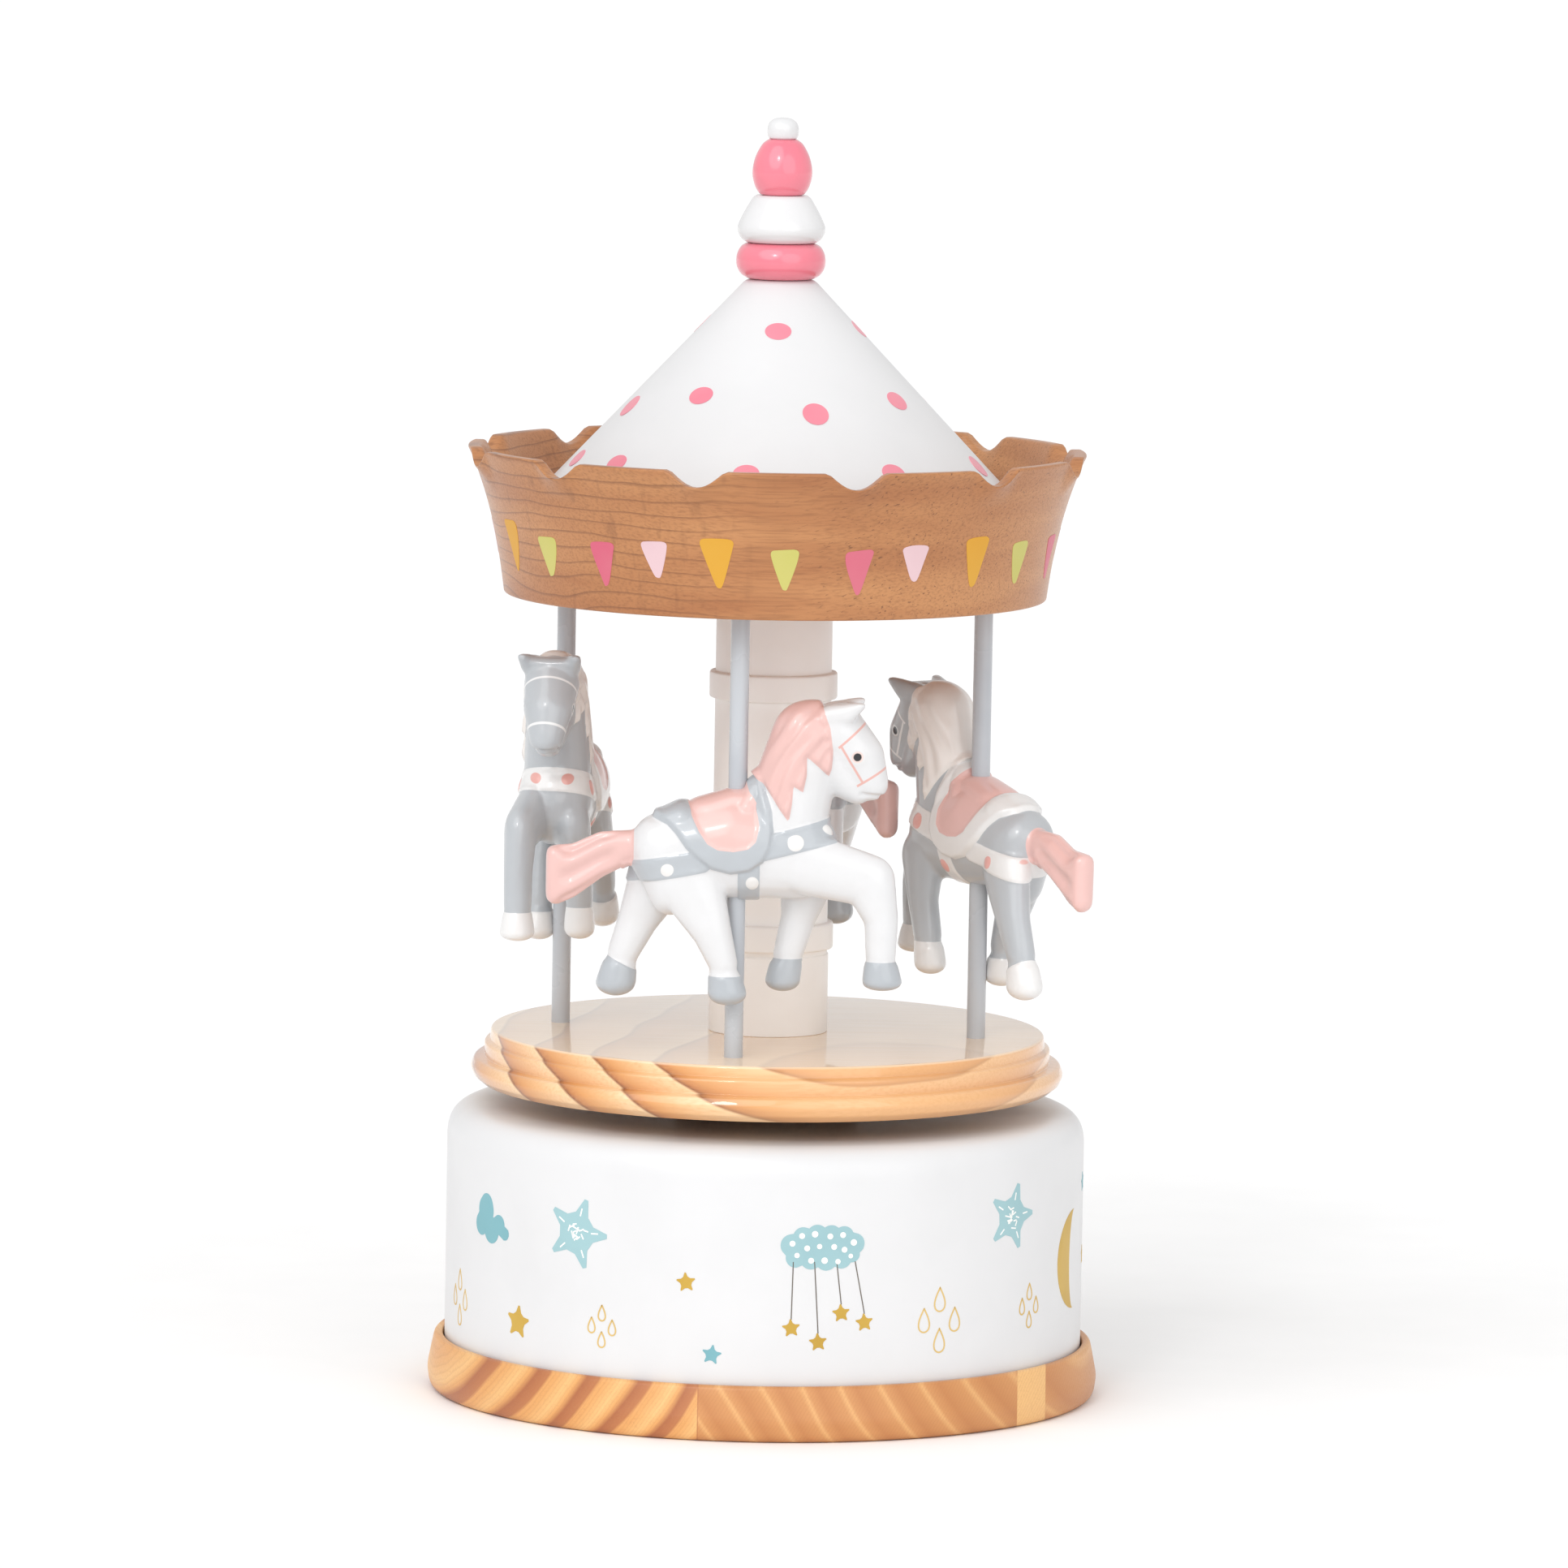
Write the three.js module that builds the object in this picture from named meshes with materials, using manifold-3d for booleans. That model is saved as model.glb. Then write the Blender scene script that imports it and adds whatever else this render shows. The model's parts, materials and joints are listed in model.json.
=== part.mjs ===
// Carousel music box: a wooden drum that holds a comb-and-cylinder movement, and above it a turntable
// with four horses on poles between a deck and a crown. Turning the turntable by hand winds the spring.
// Millimetres, +Z up, the origin at the centre of the base, the front at -Y.
import * as THREE from "three";
import Module from "manifold-3d";
import { ConvexGeometry } from "three/addons/geometries/ConvexGeometry.js";
import { mergeVertices } from "three/addons/utils/BufferGeometryUtils.js";

const wasm = await Module();
wasm.setup();

// Fits
const seatGap = 0.3; // around a piece in the hole or rebate made for it
const shaftGap = 0.15; // around a shaft in its bearing, and a wheel on its arbor
const runGap = 0.4; // between faces that turn past each other

// Base ring and bottom cover
const ringHeight = 9.5;
const ringMargin = 1.7; // from the drum's side out to the ring's top edge
const ringBulge = 1.2; // how far the outside swells below the top edge
const ringLedgeWidth = 13; // from the drum's outside in to the ring's bore
const coverThickness = 3; // it lies flush with the ring's foot
const coverScrewSink = 0.4; // from the foot up to the screws' heads
const coverSeatWidth = 6.3; // of the ledge's underside that the cover meets

// Drum
const drumRadius = 55;
const drumHeight = 40.1; // above the ring
const drumSeat = 3.5; // how deep it sits in the ring
const drumWall = 5;
const drumTopThickness = 6;
const drumEdge = 5.6; // radius of the rounded top edge

// Turntable
const turntableLift = 3.8; // from the drum's top to the deck
const hubRadius = 15.8;
const deckRadius = 51.2;
const deckTopRadius = 47.2;
const deckThickness = 9.2;
const columnRadius = 10;
const columnHeight = 75.4;
const columnBead = 1; // how far the beads stand out
const columnBeadHeight = 4.8;
const columnBeads = [16.8, 60]; // heights of their middles above the deck
const tenonRadius = 6;
const tenonLength = 4.6;
const poleRadius = 1.6;
const poleCircle = 36.3;
const poleSocket = 4;
const firstPoleTurn = -9; // degrees from the front
const horseHeight = 51.5; // from the lowest hoof to the ears

// Crown and roof
const crownRadius = 46.6;
const crownFlare = 6.6; // how far the rim stands out past the bottom edge
const crownHeight = 25.3;
const crownWall = 2.4;
const crownRecess = 10.5;
const notchCount = 12;
const notchWidth = 9;
const notchDepth = 2.8;
const coneTopRadius = 5.65;
const coneSlope = 0.95; // radius gained per millimetre down
const coneRise = 29.1; // above the crown's rim

// Finial beads, from the bottom, on one dowel
const finialDiscHeight = 6.2;
const finialBellHeight = 8.1;
const finialEggHeight = 9.6;
const finialBallHeight = 3.7;
const dowelRadius = 1.2;
const dowelDepth = 14;

// Movement
const bedplateThickness = 2.5;
const springCaseRadius = 13.3;
const springCaseHeight = 11.6;
const springCaseWall = 0.8;
const springTurns = 4;
const springBand = 0.5;
const spindleRadius = 2;
const bushWall = 2;
const bushFlange = 2.5;
const crownModule = 0.8;
const crownTeeth = 30;
const crownToothLength = 3;
const cylinderPinionTeeth = 10;
const trainModule = 0.5;
const cylinderWheelTeeth = 40;
const governorPinionTeeth = 10;
const wormWheelTeeth = 16;
const wormStarts = 2;
const wormRadius = 2; // at the pitch line
const wormLength = 6;
const wheelThickness = 1.4;
const pressureAngle = 20; // degrees, of the straight tooth flanks
const toothShare = 0.36; // of the pitch that a tooth fills
const addendum = 0.75; // a tooth's height above the pitch line, in modules
const dedendum = 1.2; // and its depth below it
const cylinderRadius = 6.5;
const cylinderLength = 20;
const cylinderPinHeight = 0.6;
const cylinderPinsPerTooth = 2;
const arborRadius = 1;
const thinShaftRadius = 0.6;
const plateThickness = 1.2; // of the brackets and the governor frame
const bracketWidth = 10;
const combTeeth = 18;
const combThickness = 1;
const combLength = 17;
const combSlot = 0.35;
const combHeelWidth = 5.5; // of the heel that the screws clamp
const fanRadius = 6;
const fanHeight = 6;
const fanThickness = 0.6;

// Screws
const screwHeadRadius = 2.3;
const screwHeadHeight = 1.3;
const screwRadius = 1.1;
const coverScrews = 4;
const bedplateScrews = 3;
const hubScrews = 3;
const hubScrewCircle = 9;

// Smoothness
const bigRound = 40;
const middleRound = 20;
const smallRound = 12;
const mergeDistance = 1e-3;

// Heights and radii that follow
const degrees = Math.PI / 180;
const ringTopRadius = drumRadius + ringMargin;
const coverRadius = drumRadius - ringLedgeWidth + coverSeatWidth;
const ledgeRadius = drumRadius - ringLedgeWidth;
const drumBottom = ringHeight - drumSeat;
const drumTop = ringHeight + drumHeight;
const cavityRadius = drumRadius - drumWall;
const cavityTop = drumTop - drumTopThickness;
const deckBottom = drumTop + turntableLift;
const deckTop = deckBottom + deckThickness;
const bushTop = drumTop + runGap;
const hubBottom = bushTop + runGap / 2;
const crownBottom = deckTop + columnHeight;
const crownTop = crownBottom + crownHeight;
const crownFloor = crownTop - crownRecess;
const coneTop = crownTop + coneRise;
const coneBottomRadius = coneTopRadius + coneSlope * (coneTop - crownFloor);
const bedplateBottom = cavityTop - bedplateThickness;
const springCaseBottom = bedplateBottom - springCaseHeight;
const crownWheelTop = springCaseBottom - runGap;
const crownWheelRoot = crownWheelTop - wheelThickness;
const crownPitchZ = crownWheelRoot - (dedendum + 0.2) * crownModule;
const crownPitchRadius = (crownTeeth * crownModule) / 2;
const pinionPitchRadius = (cylinderPinionTeeth * crownModule) / 2;
const cylinderZ = crownPitchZ - pinionPitchRadius;
const pinionEnd = crownPitchRadius + crownToothLength / 2;
const innerBracketX = Math.max(pinionEnd, springCaseRadius) + 2 * runGap; // clear of both
const cylinderStart = innerBracketX + plateThickness + runGap;
const cylinderEnd = cylinderStart + cylinderLength;
const outerBracketX = cylinderEnd + runGap;
const cylinderWheelX = outerBracketX + plateThickness + runGap;
const governorY = (trainModule * (cylinderWheelTeeth + governorPinionTeeth)) / 2;
const wormWheelX = cylinderEnd - 2 * wheelThickness;
const wormY = governorY + (trainModule * wormWheelTeeth) / 2 + wormRadius;
const wormX = wormWheelX + wheelThickness / 2;
const governorFrameX = wormX - fanHeight / 2 - plateThickness;
const governorArmEnd = wormX + thinShaftRadius + plateThickness;
const wormReach = wormLength / 2 + 2.5; // from the worm's middle to the frame's arms
const fanTop = cylinderZ - wormReach - plateThickness - runGap;
const combEdge = cylinderRadius + cylinderPinHeight + runGap;
const combPitch = cylinderLength / combTeeth;
const combMiddle = (cylinderStart + cylinderEnd) / 2;
const combHeelY = -(combEdge + combLength - combHeelWidth / 2);

// Finishes
const paint = (color, roughness) => new THREE.MeshStandardMaterial({ color, roughness, metalness: 0 });
const metal = (color, roughness) => new THREE.MeshStandardMaterial({ color, roughness, metalness: 1 });
const pine = paint(0xd9a871, 0.35);
const varnishedPine = paint(0xe0b184, 0.25);
const beech = paint(0xc98f62, 0.4);
const whiteSatin = paint(0xf4f2ee, 0.5);
const whiteGloss = paint(0xf5f4f2, 0.25);
const pinkGloss = paint(0xf58a98, 0.25);
const poleGrey = paint(0xb9bec5, 0.35);
const horseGrey = paint(0xb6babe, 0.3);
const blackPlastic = paint(0x2b2725, 0.5);
const fibreboard = paint(0x9a7a55, 0.8);
const brass = metal(0xc9a24a, 0.3);
const steel = metal(0xb4b7ba, 0.35);
const springSteel = metal(0x6f7a86, 0.3);
const zinc = metal(0x9a9c9e, 0.5);

// Solids and shapes

// a geometry as a solid that can be joined and cut
function solid(geometry) {
  const loose = geometry.index ? geometry.toNonIndexed() : geometry;
  const bare = new THREE.BufferGeometry().setAttribute("position", loose.getAttribute("position"));
  const merged = mergeVertices(bare, mergeDistance);
  const vertProperties = merged.attributes.position.array;
  const triVerts = new Uint32Array(merged.index.array);
  return new wasm.Manifold(new wasm.Mesh({ numProp: 3, vertProperties, triVerts }));
}

function geometryOf(made) {
  const { vertProperties, triVerts } = made.getMesh();
  const geometry = new THREE.BufferGeometry();
  geometry.setAttribute("position", new THREE.BufferAttribute(new Float32Array(vertProperties), 3));
  geometry.setIndex(new THREE.BufferAttribute(new Uint32Array(triVerts), 1));
  return geometry;
}

function join(pieces) {
  return geometryOf(pieces.map(solid).reduce((whole, piece) => whole.add(piece)));
}

function cut(geometry, tools) {
  return geometryOf(tools.map(solid).reduce((whole, tool) => whole.subtract(tool), solid(geometry)));
}

// a solid turned about Z, from a closed outline of [radius, height] points
function turned(outline, segments = bigRound) {
  const points = outline.map(([radius, z]) => new THREE.Vector2(radius, z));
  if (THREE.ShapeUtils.area(points) < 0) points.reverse();
  points.push(points[0].clone());
  return new THREE.LatheGeometry(points, segments).rotateX(Math.PI / 2);
}

// points on an arc about (radius, z), from one angle to another in degrees
function arc(radius, z, size, from, to, steps) {
  const points = [];
  for (let i = 0; i <= steps; i++) {
    const angle = (from + ((to - from) * i) / steps) * degrees;
    points.push([radius + size * Math.cos(angle), z + size * Math.sin(angle)]);
  }
  return points;
}

// an upright rod at (x, y)
function rod(radius, bottom, top, x = 0, y = 0, segments = smallRound) {
  const height = top - bottom;
  return new THREE.CylinderGeometry(radius, radius, height, segments)
    .rotateX(Math.PI / 2)
    .translate(x, y, bottom + height / 2);
}

// a rod along X at (y, z)
function crossRod(radius, start, end, y, z, segments = smallRound) {
  const length = end - start;
  return new THREE.CylinderGeometry(radius, radius, length, segments)
    .rotateZ(-Math.PI / 2)
    .translate(start + length / 2, y, z);
}

function block([x0, x1], [y0, y1], [z0, z1]) {
  const box = new THREE.BoxGeometry(x1 - x0, y1 - y0, z1 - z0);
  return box.translate((x0 + x1) / 2, (y0 + y1) / 2, (z0 + z1) / 2);
}

function extruded(points, depth) {
  const shape = new THREE.Shape(points.map(([x, y]) => new THREE.Vector2(x, y)));
  return new THREE.ExtrudeGeometry(shape, { depth, bevelEnabled: false });
}

// the place of each of a number of copies round a circle
function around(count, radius, firstTurn = 0) {
  return Array.from({ length: count }, (_, i) => {
    const angle = firstTurn * degrees + (i * 2 * Math.PI) / count;
    return [radius * Math.cos(angle), radius * Math.sin(angle)];
  });
}

// a pan-head screw with its shank upwards from the underside that its head meets
function screw(seatZ, length) {
  const headBottom = seatZ - screwHeadHeight;
  const head = rod(screwHeadRadius, headBottom, seatZ);
  const slot = block([-screwHeadRadius, screwHeadRadius], [-0.3, 0.3], [headBottom - 0.1, headBottom + 0.5]);
  return cut(join([head, rod(screwRadius, headBottom + 0.6, seatZ + length)]), [slot]);
}

const root = new THREE.Group();

function add(name, geometry, material, parent = root) {
  const mesh = new THREE.Mesh(geometry, material);
  mesh.name = name;
  parent.add(mesh);
  return mesh;
}

// Base

function baseRing() {
  const belly = ringTopRadius + ringBulge;
  const outline = [
    [coverRadius + seatGap, 0],
    ...arc(belly - 2, 2, 2, -90, 0, 3),
    [belly, ringHeight * 0.4],
    [ringTopRadius + 0.3, ringHeight * 0.8],
    [ringTopRadius - 0.6, ringHeight],
    [drumRadius + seatGap, ringHeight],
    [drumRadius + seatGap, drumBottom],
    [ledgeRadius, drumBottom],
    [ledgeRadius, coverThickness],
    [coverRadius + seatGap, coverThickness],
  ];
  const holes = coverScrewPlaces().map(([x, y]) => rod(screwRadius + seatGap, 0, drumBottom + 1, x, y));
  return cut(turned(outline), holes);
}

const coverScrewSeat = coverScrewSink + screwHeadHeight;

function coverScrewPlaces() {
  return around(coverScrews, (ledgeRadius + coverRadius) / 2, 45);
}

function bottomCover() {
  const disc = rod(coverRadius, 0, coverThickness, 0, 0, bigRound);
  const holes = coverScrewPlaces().flatMap(([x, y]) => [
    rod(screwHeadRadius + seatGap, -1, coverScrewSeat, x, y),
    rod(screwRadius + seatGap, -1, coverThickness + 1, x, y),
  ]);
  return cut(disc, holes);
}

function drumShell() {
  const outline = [
    [cavityRadius, drumBottom],
    [drumRadius, drumBottom],
    ...arc(drumRadius - drumEdge, drumTop - drumEdge, drumEdge, 0, 90, 5),
    [spindleRadius + bushWall + seatGap, drumTop],
    [spindleRadius + bushWall + seatGap, cavityTop],
    [cavityRadius, cavityTop],
  ];
  const pilots = bedplateScrewPlaces().map(([x, y]) =>
    rod(screwRadius + seatGap / 2, cavityTop - 1, cavityTop + drumTopThickness * 0.7, x, y),
  );
  return cut(turned(outline), pilots);
}

// Movement: everything hangs from the bedplate under the drum's top

const bedplateStart = -(springCaseRadius + 6);
const bedplateEnd = cylinderWheelX + wheelThickness;
const bedplateFront = -(combEdge + combLength + 1);
const bedplateBack = wormY + 4;

function bedplateScrewPlaces() {
  const inset = 4;
  return [
    [bedplateStart + inset, bedplateFront + inset],
    [bedplateStart + inset, bedplateBack - inset],
    [springCaseRadius + 2 * inset, bedplateBack - inset],
  ];
}

function bedplate() {
  const depths = [bedplateFront, bedplateBack];
  const plate = block([bedplateStart, bedplateEnd], depths, [bedplateBottom, cavityTop]);
  const holes = bedplateScrewPlaces().map(([x, y]) =>
    rod(screwRadius + seatGap, bedplateBottom - 1, cavityTop + 1, x, y),
  );
  const spindleHole = rod(spindleRadius + 2 * seatGap, bedplateBottom - 1, cavityTop + 1);
  return cut(plate, [...holes, spindleHole]);
}

function springCase() {
  const inner = springCaseRadius - springCaseWall;
  const bore = spindleRadius + seatGap;
  return turned(
    [
      [springCaseRadius, springCaseBottom],
      [springCaseRadius, bedplateBottom],
      [inner, bedplateBottom],
      [inner, springCaseBottom + springCaseWall],
      [bore, springCaseBottom + springCaseWall],
      [bore, springCaseBottom],
    ],
    middleRound,
  );
}

// a flat band wound in a plane spiral inside the spring case
function mainspring() {
  const start = spindleRadius + seatGap + springBand / 2;
  const end = springCaseRadius - springCaseWall - seatGap - springBand / 2;
  const steps = springTurns * 16;
  const side = (offset) =>
    Array.from({ length: steps + 1 }, (_, i) => {
      const angle = (i / steps) * springTurns * 2 * Math.PI;
      const radius = start + ((end - start) * i) / steps + offset;
      return [radius * Math.cos(angle), radius * Math.sin(angle)];
    });
  const band = [...side(springBand / 2), ...side(-springBand / 2).reverse()];
  const bottom = springCaseBottom + springCaseWall + seatGap;
  return extruded(band, bedplateBottom - seatGap - bottom).translate(0, 0, bottom);
}

function spindleBush() {
  const bore = spindleRadius + shaftGap;
  const outside = spindleRadius + bushWall;
  return turned(
    [
      [bore, cavityTop],
      [outside, cavityTop],
      [outside, drumTop],
      [outside + bushFlange, drumTop],
      [outside + bushFlange, bushTop],
      [bore, bushTop],
    ],
    middleRound,
  );
}

const deckWeb = 1.1; // of wood left between the spindle's end and the column's socket
const spindleTop = deckTop - tenonLength - 2 * seatGap - deckWeb;
const crownWheelBore = spindleRadius + shaftGap / 2;

function spindle() {
  const collarBottom = crownWheelRoot - 2;
  const collar = rod(spindleRadius + 1.2, collarBottom, crownWheelRoot - shaftGap);
  return join([rod(spindleRadius, collarBottom, spindleTop), collar]);
}

// the outline of a tooth with straight flanks, thinning from root to tip, on a straight pitch line
function toothHalf(module, height) {
  return (toothShare * Math.PI * module) / 2 - height * Math.tan(pressureAngle * degrees);
}

// a spur gear about Z with one tooth at +X
function spurGear(teeth, module, thickness, bore) {
  const pitchRadius = (teeth * module) / 2;
  const outline = [];
  for (let i = 0; i < teeth; i++) {
    for (const [height, side] of [[-dedendum, -1], [addendum, -1], [addendum, 1], [-dedendum, 1]]) {
      const radius = pitchRadius + height * module;
      const angle = (i * 2 * Math.PI) / teeth + (side * toothHalf(module, height * module)) / radius;
      outline.push([radius * Math.cos(angle), radius * Math.sin(angle)]);
    }
  }
  return cut(extruded(outline, thickness), [rod(bore, -1, thickness + 1, 0, 0, 12)]);
}

// a gear on an arbor that lies along X
function crossGear(teeth, module, thickness, bore, start, y, z, turn = 0) {
  return spurGear(teeth, module, thickness, bore)
    .rotateZ(turn)
    .rotateY(Math.PI / 2)
    .translate(start, y, z);
}

// a disc with teeth that point down from its underside, one of them at +X
function crownWheel() {
  const outer = crownPitchRadius + crownToothLength / 2;
  const disc = cut(rod(outer, crownWheelRoot, crownWheelTop, 0, 0, bigRound), [
    rod(crownWheelBore, crownWheelRoot - 1, crownWheelTop + 1),
  ]);
  const rootHeight = crownWheelRoot + 0.4 - crownPitchZ;
  const tipHeight = addendum * crownModule;
  const rootHalf = toothHalf(crownModule, -rootHeight);
  const tipHalf = toothHalf(crownModule, tipHeight);
  const outline = [
    [-tipHalf, -tipHeight],
    [tipHalf, -tipHeight],
    [rootHalf, rootHeight],
    [-rootHalf, rootHeight],
  ];
  const across = new THREE.Matrix4().makeBasis(
    new THREE.Vector3(0, 1, 0),
    new THREE.Vector3(0, 0, 1),
    new THREE.Vector3(1, 0, 0),
  );
  const tooth = extruded(outline, crownToothLength - 0.2)
    .applyMatrix4(across)
    .translate(outer - crownToothLength + 0.1, 0, crownPitchZ);
  const teeth = Array.from({ length: crownTeeth }, (_, i) =>
    tooth.clone().rotateZ((i * 2 * Math.PI) / crownTeeth),
  );
  return join([disc, ...teeth]);
}

// an upright plate across X with holes for the arbors that it carries
function bracket(start, [front, back], bottom, arbors) {
  const plate = block([start, start + plateThickness], [front, back], [bottom, bedplateBottom]);
  const holes = arbors.map(([radius, y]) =>
    crossRod(radius + shaftGap, start - 1, start + plateThickness + 1, y, cylinderZ),
  );
  return cut(plate, holes);
}

const cylinderArborStart = crownPitchRadius - crownToothLength / 2;
const cylinderArborEnd = cylinderWheelX + wheelThickness + runGap;

function cylinderArbor() {
  return crossRod(arborRadius, cylinderArborStart, cylinderArborEnd, 0, cylinderZ);
}

// the brass cylinder, bored for its arbor, with pins set out in a spread that repeats nowhere on a row
function pinCylinder() {
  const drum = cut(crossRod(cylinderRadius, cylinderStart, cylinderEnd, 0, 0, 36), [
    crossRod(arborRadius + shaftGap, cylinderStart - 1, cylinderEnd + 1, 0, 0),
  ]);
  const pinSize = 0.5;
  const goldenTurn = 137.5;
  const pins = [];
  for (let i = 0; i < combTeeth * cylinderPinsPerTooth; i++) {
    const x = cylinderStart + combPitch * ((i % combTeeth) + 0.5);
    const reach = cylinderRadius + cylinderPinHeight;
    const pin = block([x - pinSize / 2, x + pinSize / 2], [-pinSize / 2, pinSize / 2], [reach - 1.2, reach]);
    pins.push(pin.rotateX((i * goldenTurn + 20) * degrees));
  }
  return join([drum, ...pins]).translate(0, 0, cylinderZ);
}

function comb() {
  const width = cylinderLength;
  const left = combMiddle - width / 2;
  const back = -(combEdge + combLength);
  const points = [[left + width, back], [left + width, -combEdge]];
  for (let i = combTeeth - 1; i > 0; i--) {
    const slot = left + i * combPitch;
    const slotEnd = back + combHeelWidth + (i / combTeeth) * 4;
    points.push([slot + combSlot / 2, -combEdge], [slot + combSlot / 2, slotEnd]);
    points.push([slot - combSlot / 2, slotEnd], [slot - combSlot / 2, -combEdge]);
  }
  points.push([left, -combEdge], [left, back]);
  const plate = extruded(points.reverse(), combThickness).translate(0, 0, cylinderZ - combThickness / 2);
  const holes = combScrewPlaces().map(([x, y]) =>
    rod(screwRadius + seatGap, cylinderZ - combThickness, cylinderZ + combThickness, x, y, 12),
  );
  return cut(plate, holes);
}

function combScrewPlaces() {
  return [-1, 1].map((side) => [combMiddle + (side * cylinderLength) / 4, combHeelY]);
}

function combBlock() {
  const halfLength = cylinderLength / 2;
  const halfWidth = combHeelWidth / 2;
  const bottom = cylinderZ + combThickness / 2;
  const body = block(
    [combMiddle - halfLength, combMiddle + halfLength],
    [combHeelY - halfWidth, combHeelY + halfWidth],
    [bottom, bedplateBottom],
  );
  const holeRadius = screwRadius + seatGap / 2;
  const holes = combScrewPlaces().map(([x, y]) => rod(holeRadius, bottom - 1, bottom + 6, x, y, 12));
  return cut(body, holes);
}

// a C-shaped frame whose arms carry the worm shaft and whose plate carries the governor's arbor
function governorFrame() {
  const armBottom = cylinderZ - wormReach;
  const armTop = cylinderZ + wormReach;
  const back = governorFrameX + plateThickness;
  const end = governorArmEnd;
  const outline = [
    [governorFrameX, armBottom - plateThickness],
    [end, armBottom - plateThickness],
    [end, armBottom],
    [back, armBottom],
    [back, armTop],
    [end, armTop],
    [end, armTop + plateThickness],
    [back, armTop + plateThickness],
    [back, bedplateBottom],
    [governorFrameX, bedplateBottom],
  ];
  const front = combEdge + 2;
  const depth = wormY + 2.5 - front;
  const frame = extruded(outline, depth)
    .rotateX(Math.PI / 2)
    .translate(0, front + depth, 0);
  return cut(frame, [
    crossRod(arborRadius + shaftGap, governorFrameX - 1, back + 1, governorY, cylinderZ),
    rod(thinShaftRadius + shaftGap, armBottom - plateThickness - 1, armTop + plateThickness + 1,
      wormX, wormY),
  ]);
}

function governorArbor() {
  const end = cylinderWheelX + wheelThickness + runGap;
  return crossRod(arborRadius, governorFrameX - runGap, end, governorY, cylinderZ);
}

// a two-start worm: a two-lobed section, turned as it rises, on a thin shaft
function wormShaft() {
  const lead = wormStarts * Math.PI * trainModule;
  const points = [];
  const sides = 16;
  for (let i = 0; i < sides; i++) {
    const angle = (i * 2 * Math.PI) / sides;
    const height = 1.5 * Math.cos(wormStarts * angle) - 0.55;
    const radius = wormRadius + trainModule * Math.min(0.8, Math.max(-1.1, height));
    points.push([radius * Math.cos(angle), radius * Math.sin(angle)]);
  }
  const shape = new THREE.Shape(points.map(([x, y]) => new THREE.Vector2(x, y)));
  const thread = new THREE.ExtrudeGeometry(shape, { depth: wormLength, bevelEnabled: false, steps: 16 });
  thread.translate(0, 0, -wormLength / 2);
  const place = thread.getAttribute("position");
  const shaftAxis = new THREE.Vector3(0, 0, 1);
  const point = new THREE.Vector3();
  for (let i = 0; i < place.count; i++) {
    point.fromBufferAttribute(place, i);
    point.applyAxisAngle(shaftAxis, (2 * Math.PI * point.z) / lead);
    place.setXYZ(i, point.x, point.y, point.z);
  }
  const bottom = fanTop - fanHeight - runGap - cylinderZ;
  const top = wormReach + plateThickness / 2;
  return join([thread, rod(thinShaftRadius, bottom, top, 0, 0, 12)]).translate(wormX, wormY, cylinderZ);
}

function airBrakeFan() {
  const bottom = fanTop - fanHeight;
  const hub = rod(thinShaftRadius + 1.2, bottom, fanTop, 0, 0, 12);
  const blade = block([-fanRadius, fanRadius], [-fanThickness / 2, fanThickness / 2], [bottom, fanTop]);
  return cut(join([hub, blade]), [
    rod(thinShaftRadius + shaftGap / 2, bottom - 1, fanTop + 1, 0, 0, 12),
  ]).translate(wormX, wormY, 0);
}

// Turntable

function polePlaces() {
  return around(4, poleCircle, firstPoleTurn - 90);
}

function hubScrewPlaces() {
  return around(hubScrews, hubScrewCircle, 30);
}

const hubScrewSeat = hubBottom + screwHeadHeight;
const hubScrewLength = 5;

function turntableHub() {
  const disc = turned(
    [
      [spindleRadius + shaftGap, hubBottom],
      [hubRadius - 0.5, hubBottom],
      [hubRadius, hubBottom + 0.5],
      [hubRadius, deckBottom],
      [spindleRadius + shaftGap, deckBottom],
    ],
    bigRound,
  );
  const holes = hubScrewPlaces().flatMap(([x, y]) => [
    rod(screwHeadRadius + seatGap, hubBottom - 1, hubScrewSeat, x, y),
    rod(screwRadius + seatGap, hubBottom - 1, deckBottom + 1, x, y),
  ]);
  return cut(disc, holes);
}

function deck() {
  const step = (deckRadius - deckTopRadius) / 4;
  const outline = [
    [0, deckBottom],
    [deckRadius - 2 * step, deckBottom],
    [deckRadius - 0.5 * step, deckBottom + 1.2],
    [deckRadius, deckBottom + 2.6],
    [deckRadius - 0.6 * step, deckBottom + 4],
    [deckRadius - 2.5 * step, deckBottom + 4.4],
    [deckRadius - 2.4 * step, deckBottom + 6.8],
    [deckRadius - 3.3 * step, deckBottom + 7.4],
    [deckRadius - 3.4 * step, deckTop - 0.5],
    [deckTopRadius, deckTop],
    [0, deckTop],
  ];
  return cut(turned(outline), [
    rod(tenonRadius + seatGap, deckTop - tenonLength - seatGap, deckTop + 1, 0, 0, middleRound),
    rod(spindleRadius + seatGap, deckBottom - 1, spindleTop + seatGap),
    ...polePlaces().map(([x, y]) =>
      rod(poleRadius + seatGap, deckTop - poleSocket - seatGap, deckTop + 1, x, y)),
    ...hubScrewPlaces().map(([x, y]) =>
      rod(screwRadius + seatGap / 2, deckBottom - 1, hubScrewSeat + hubScrewLength + seatGap, x, y),
    ),
  ]);
}

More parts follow.
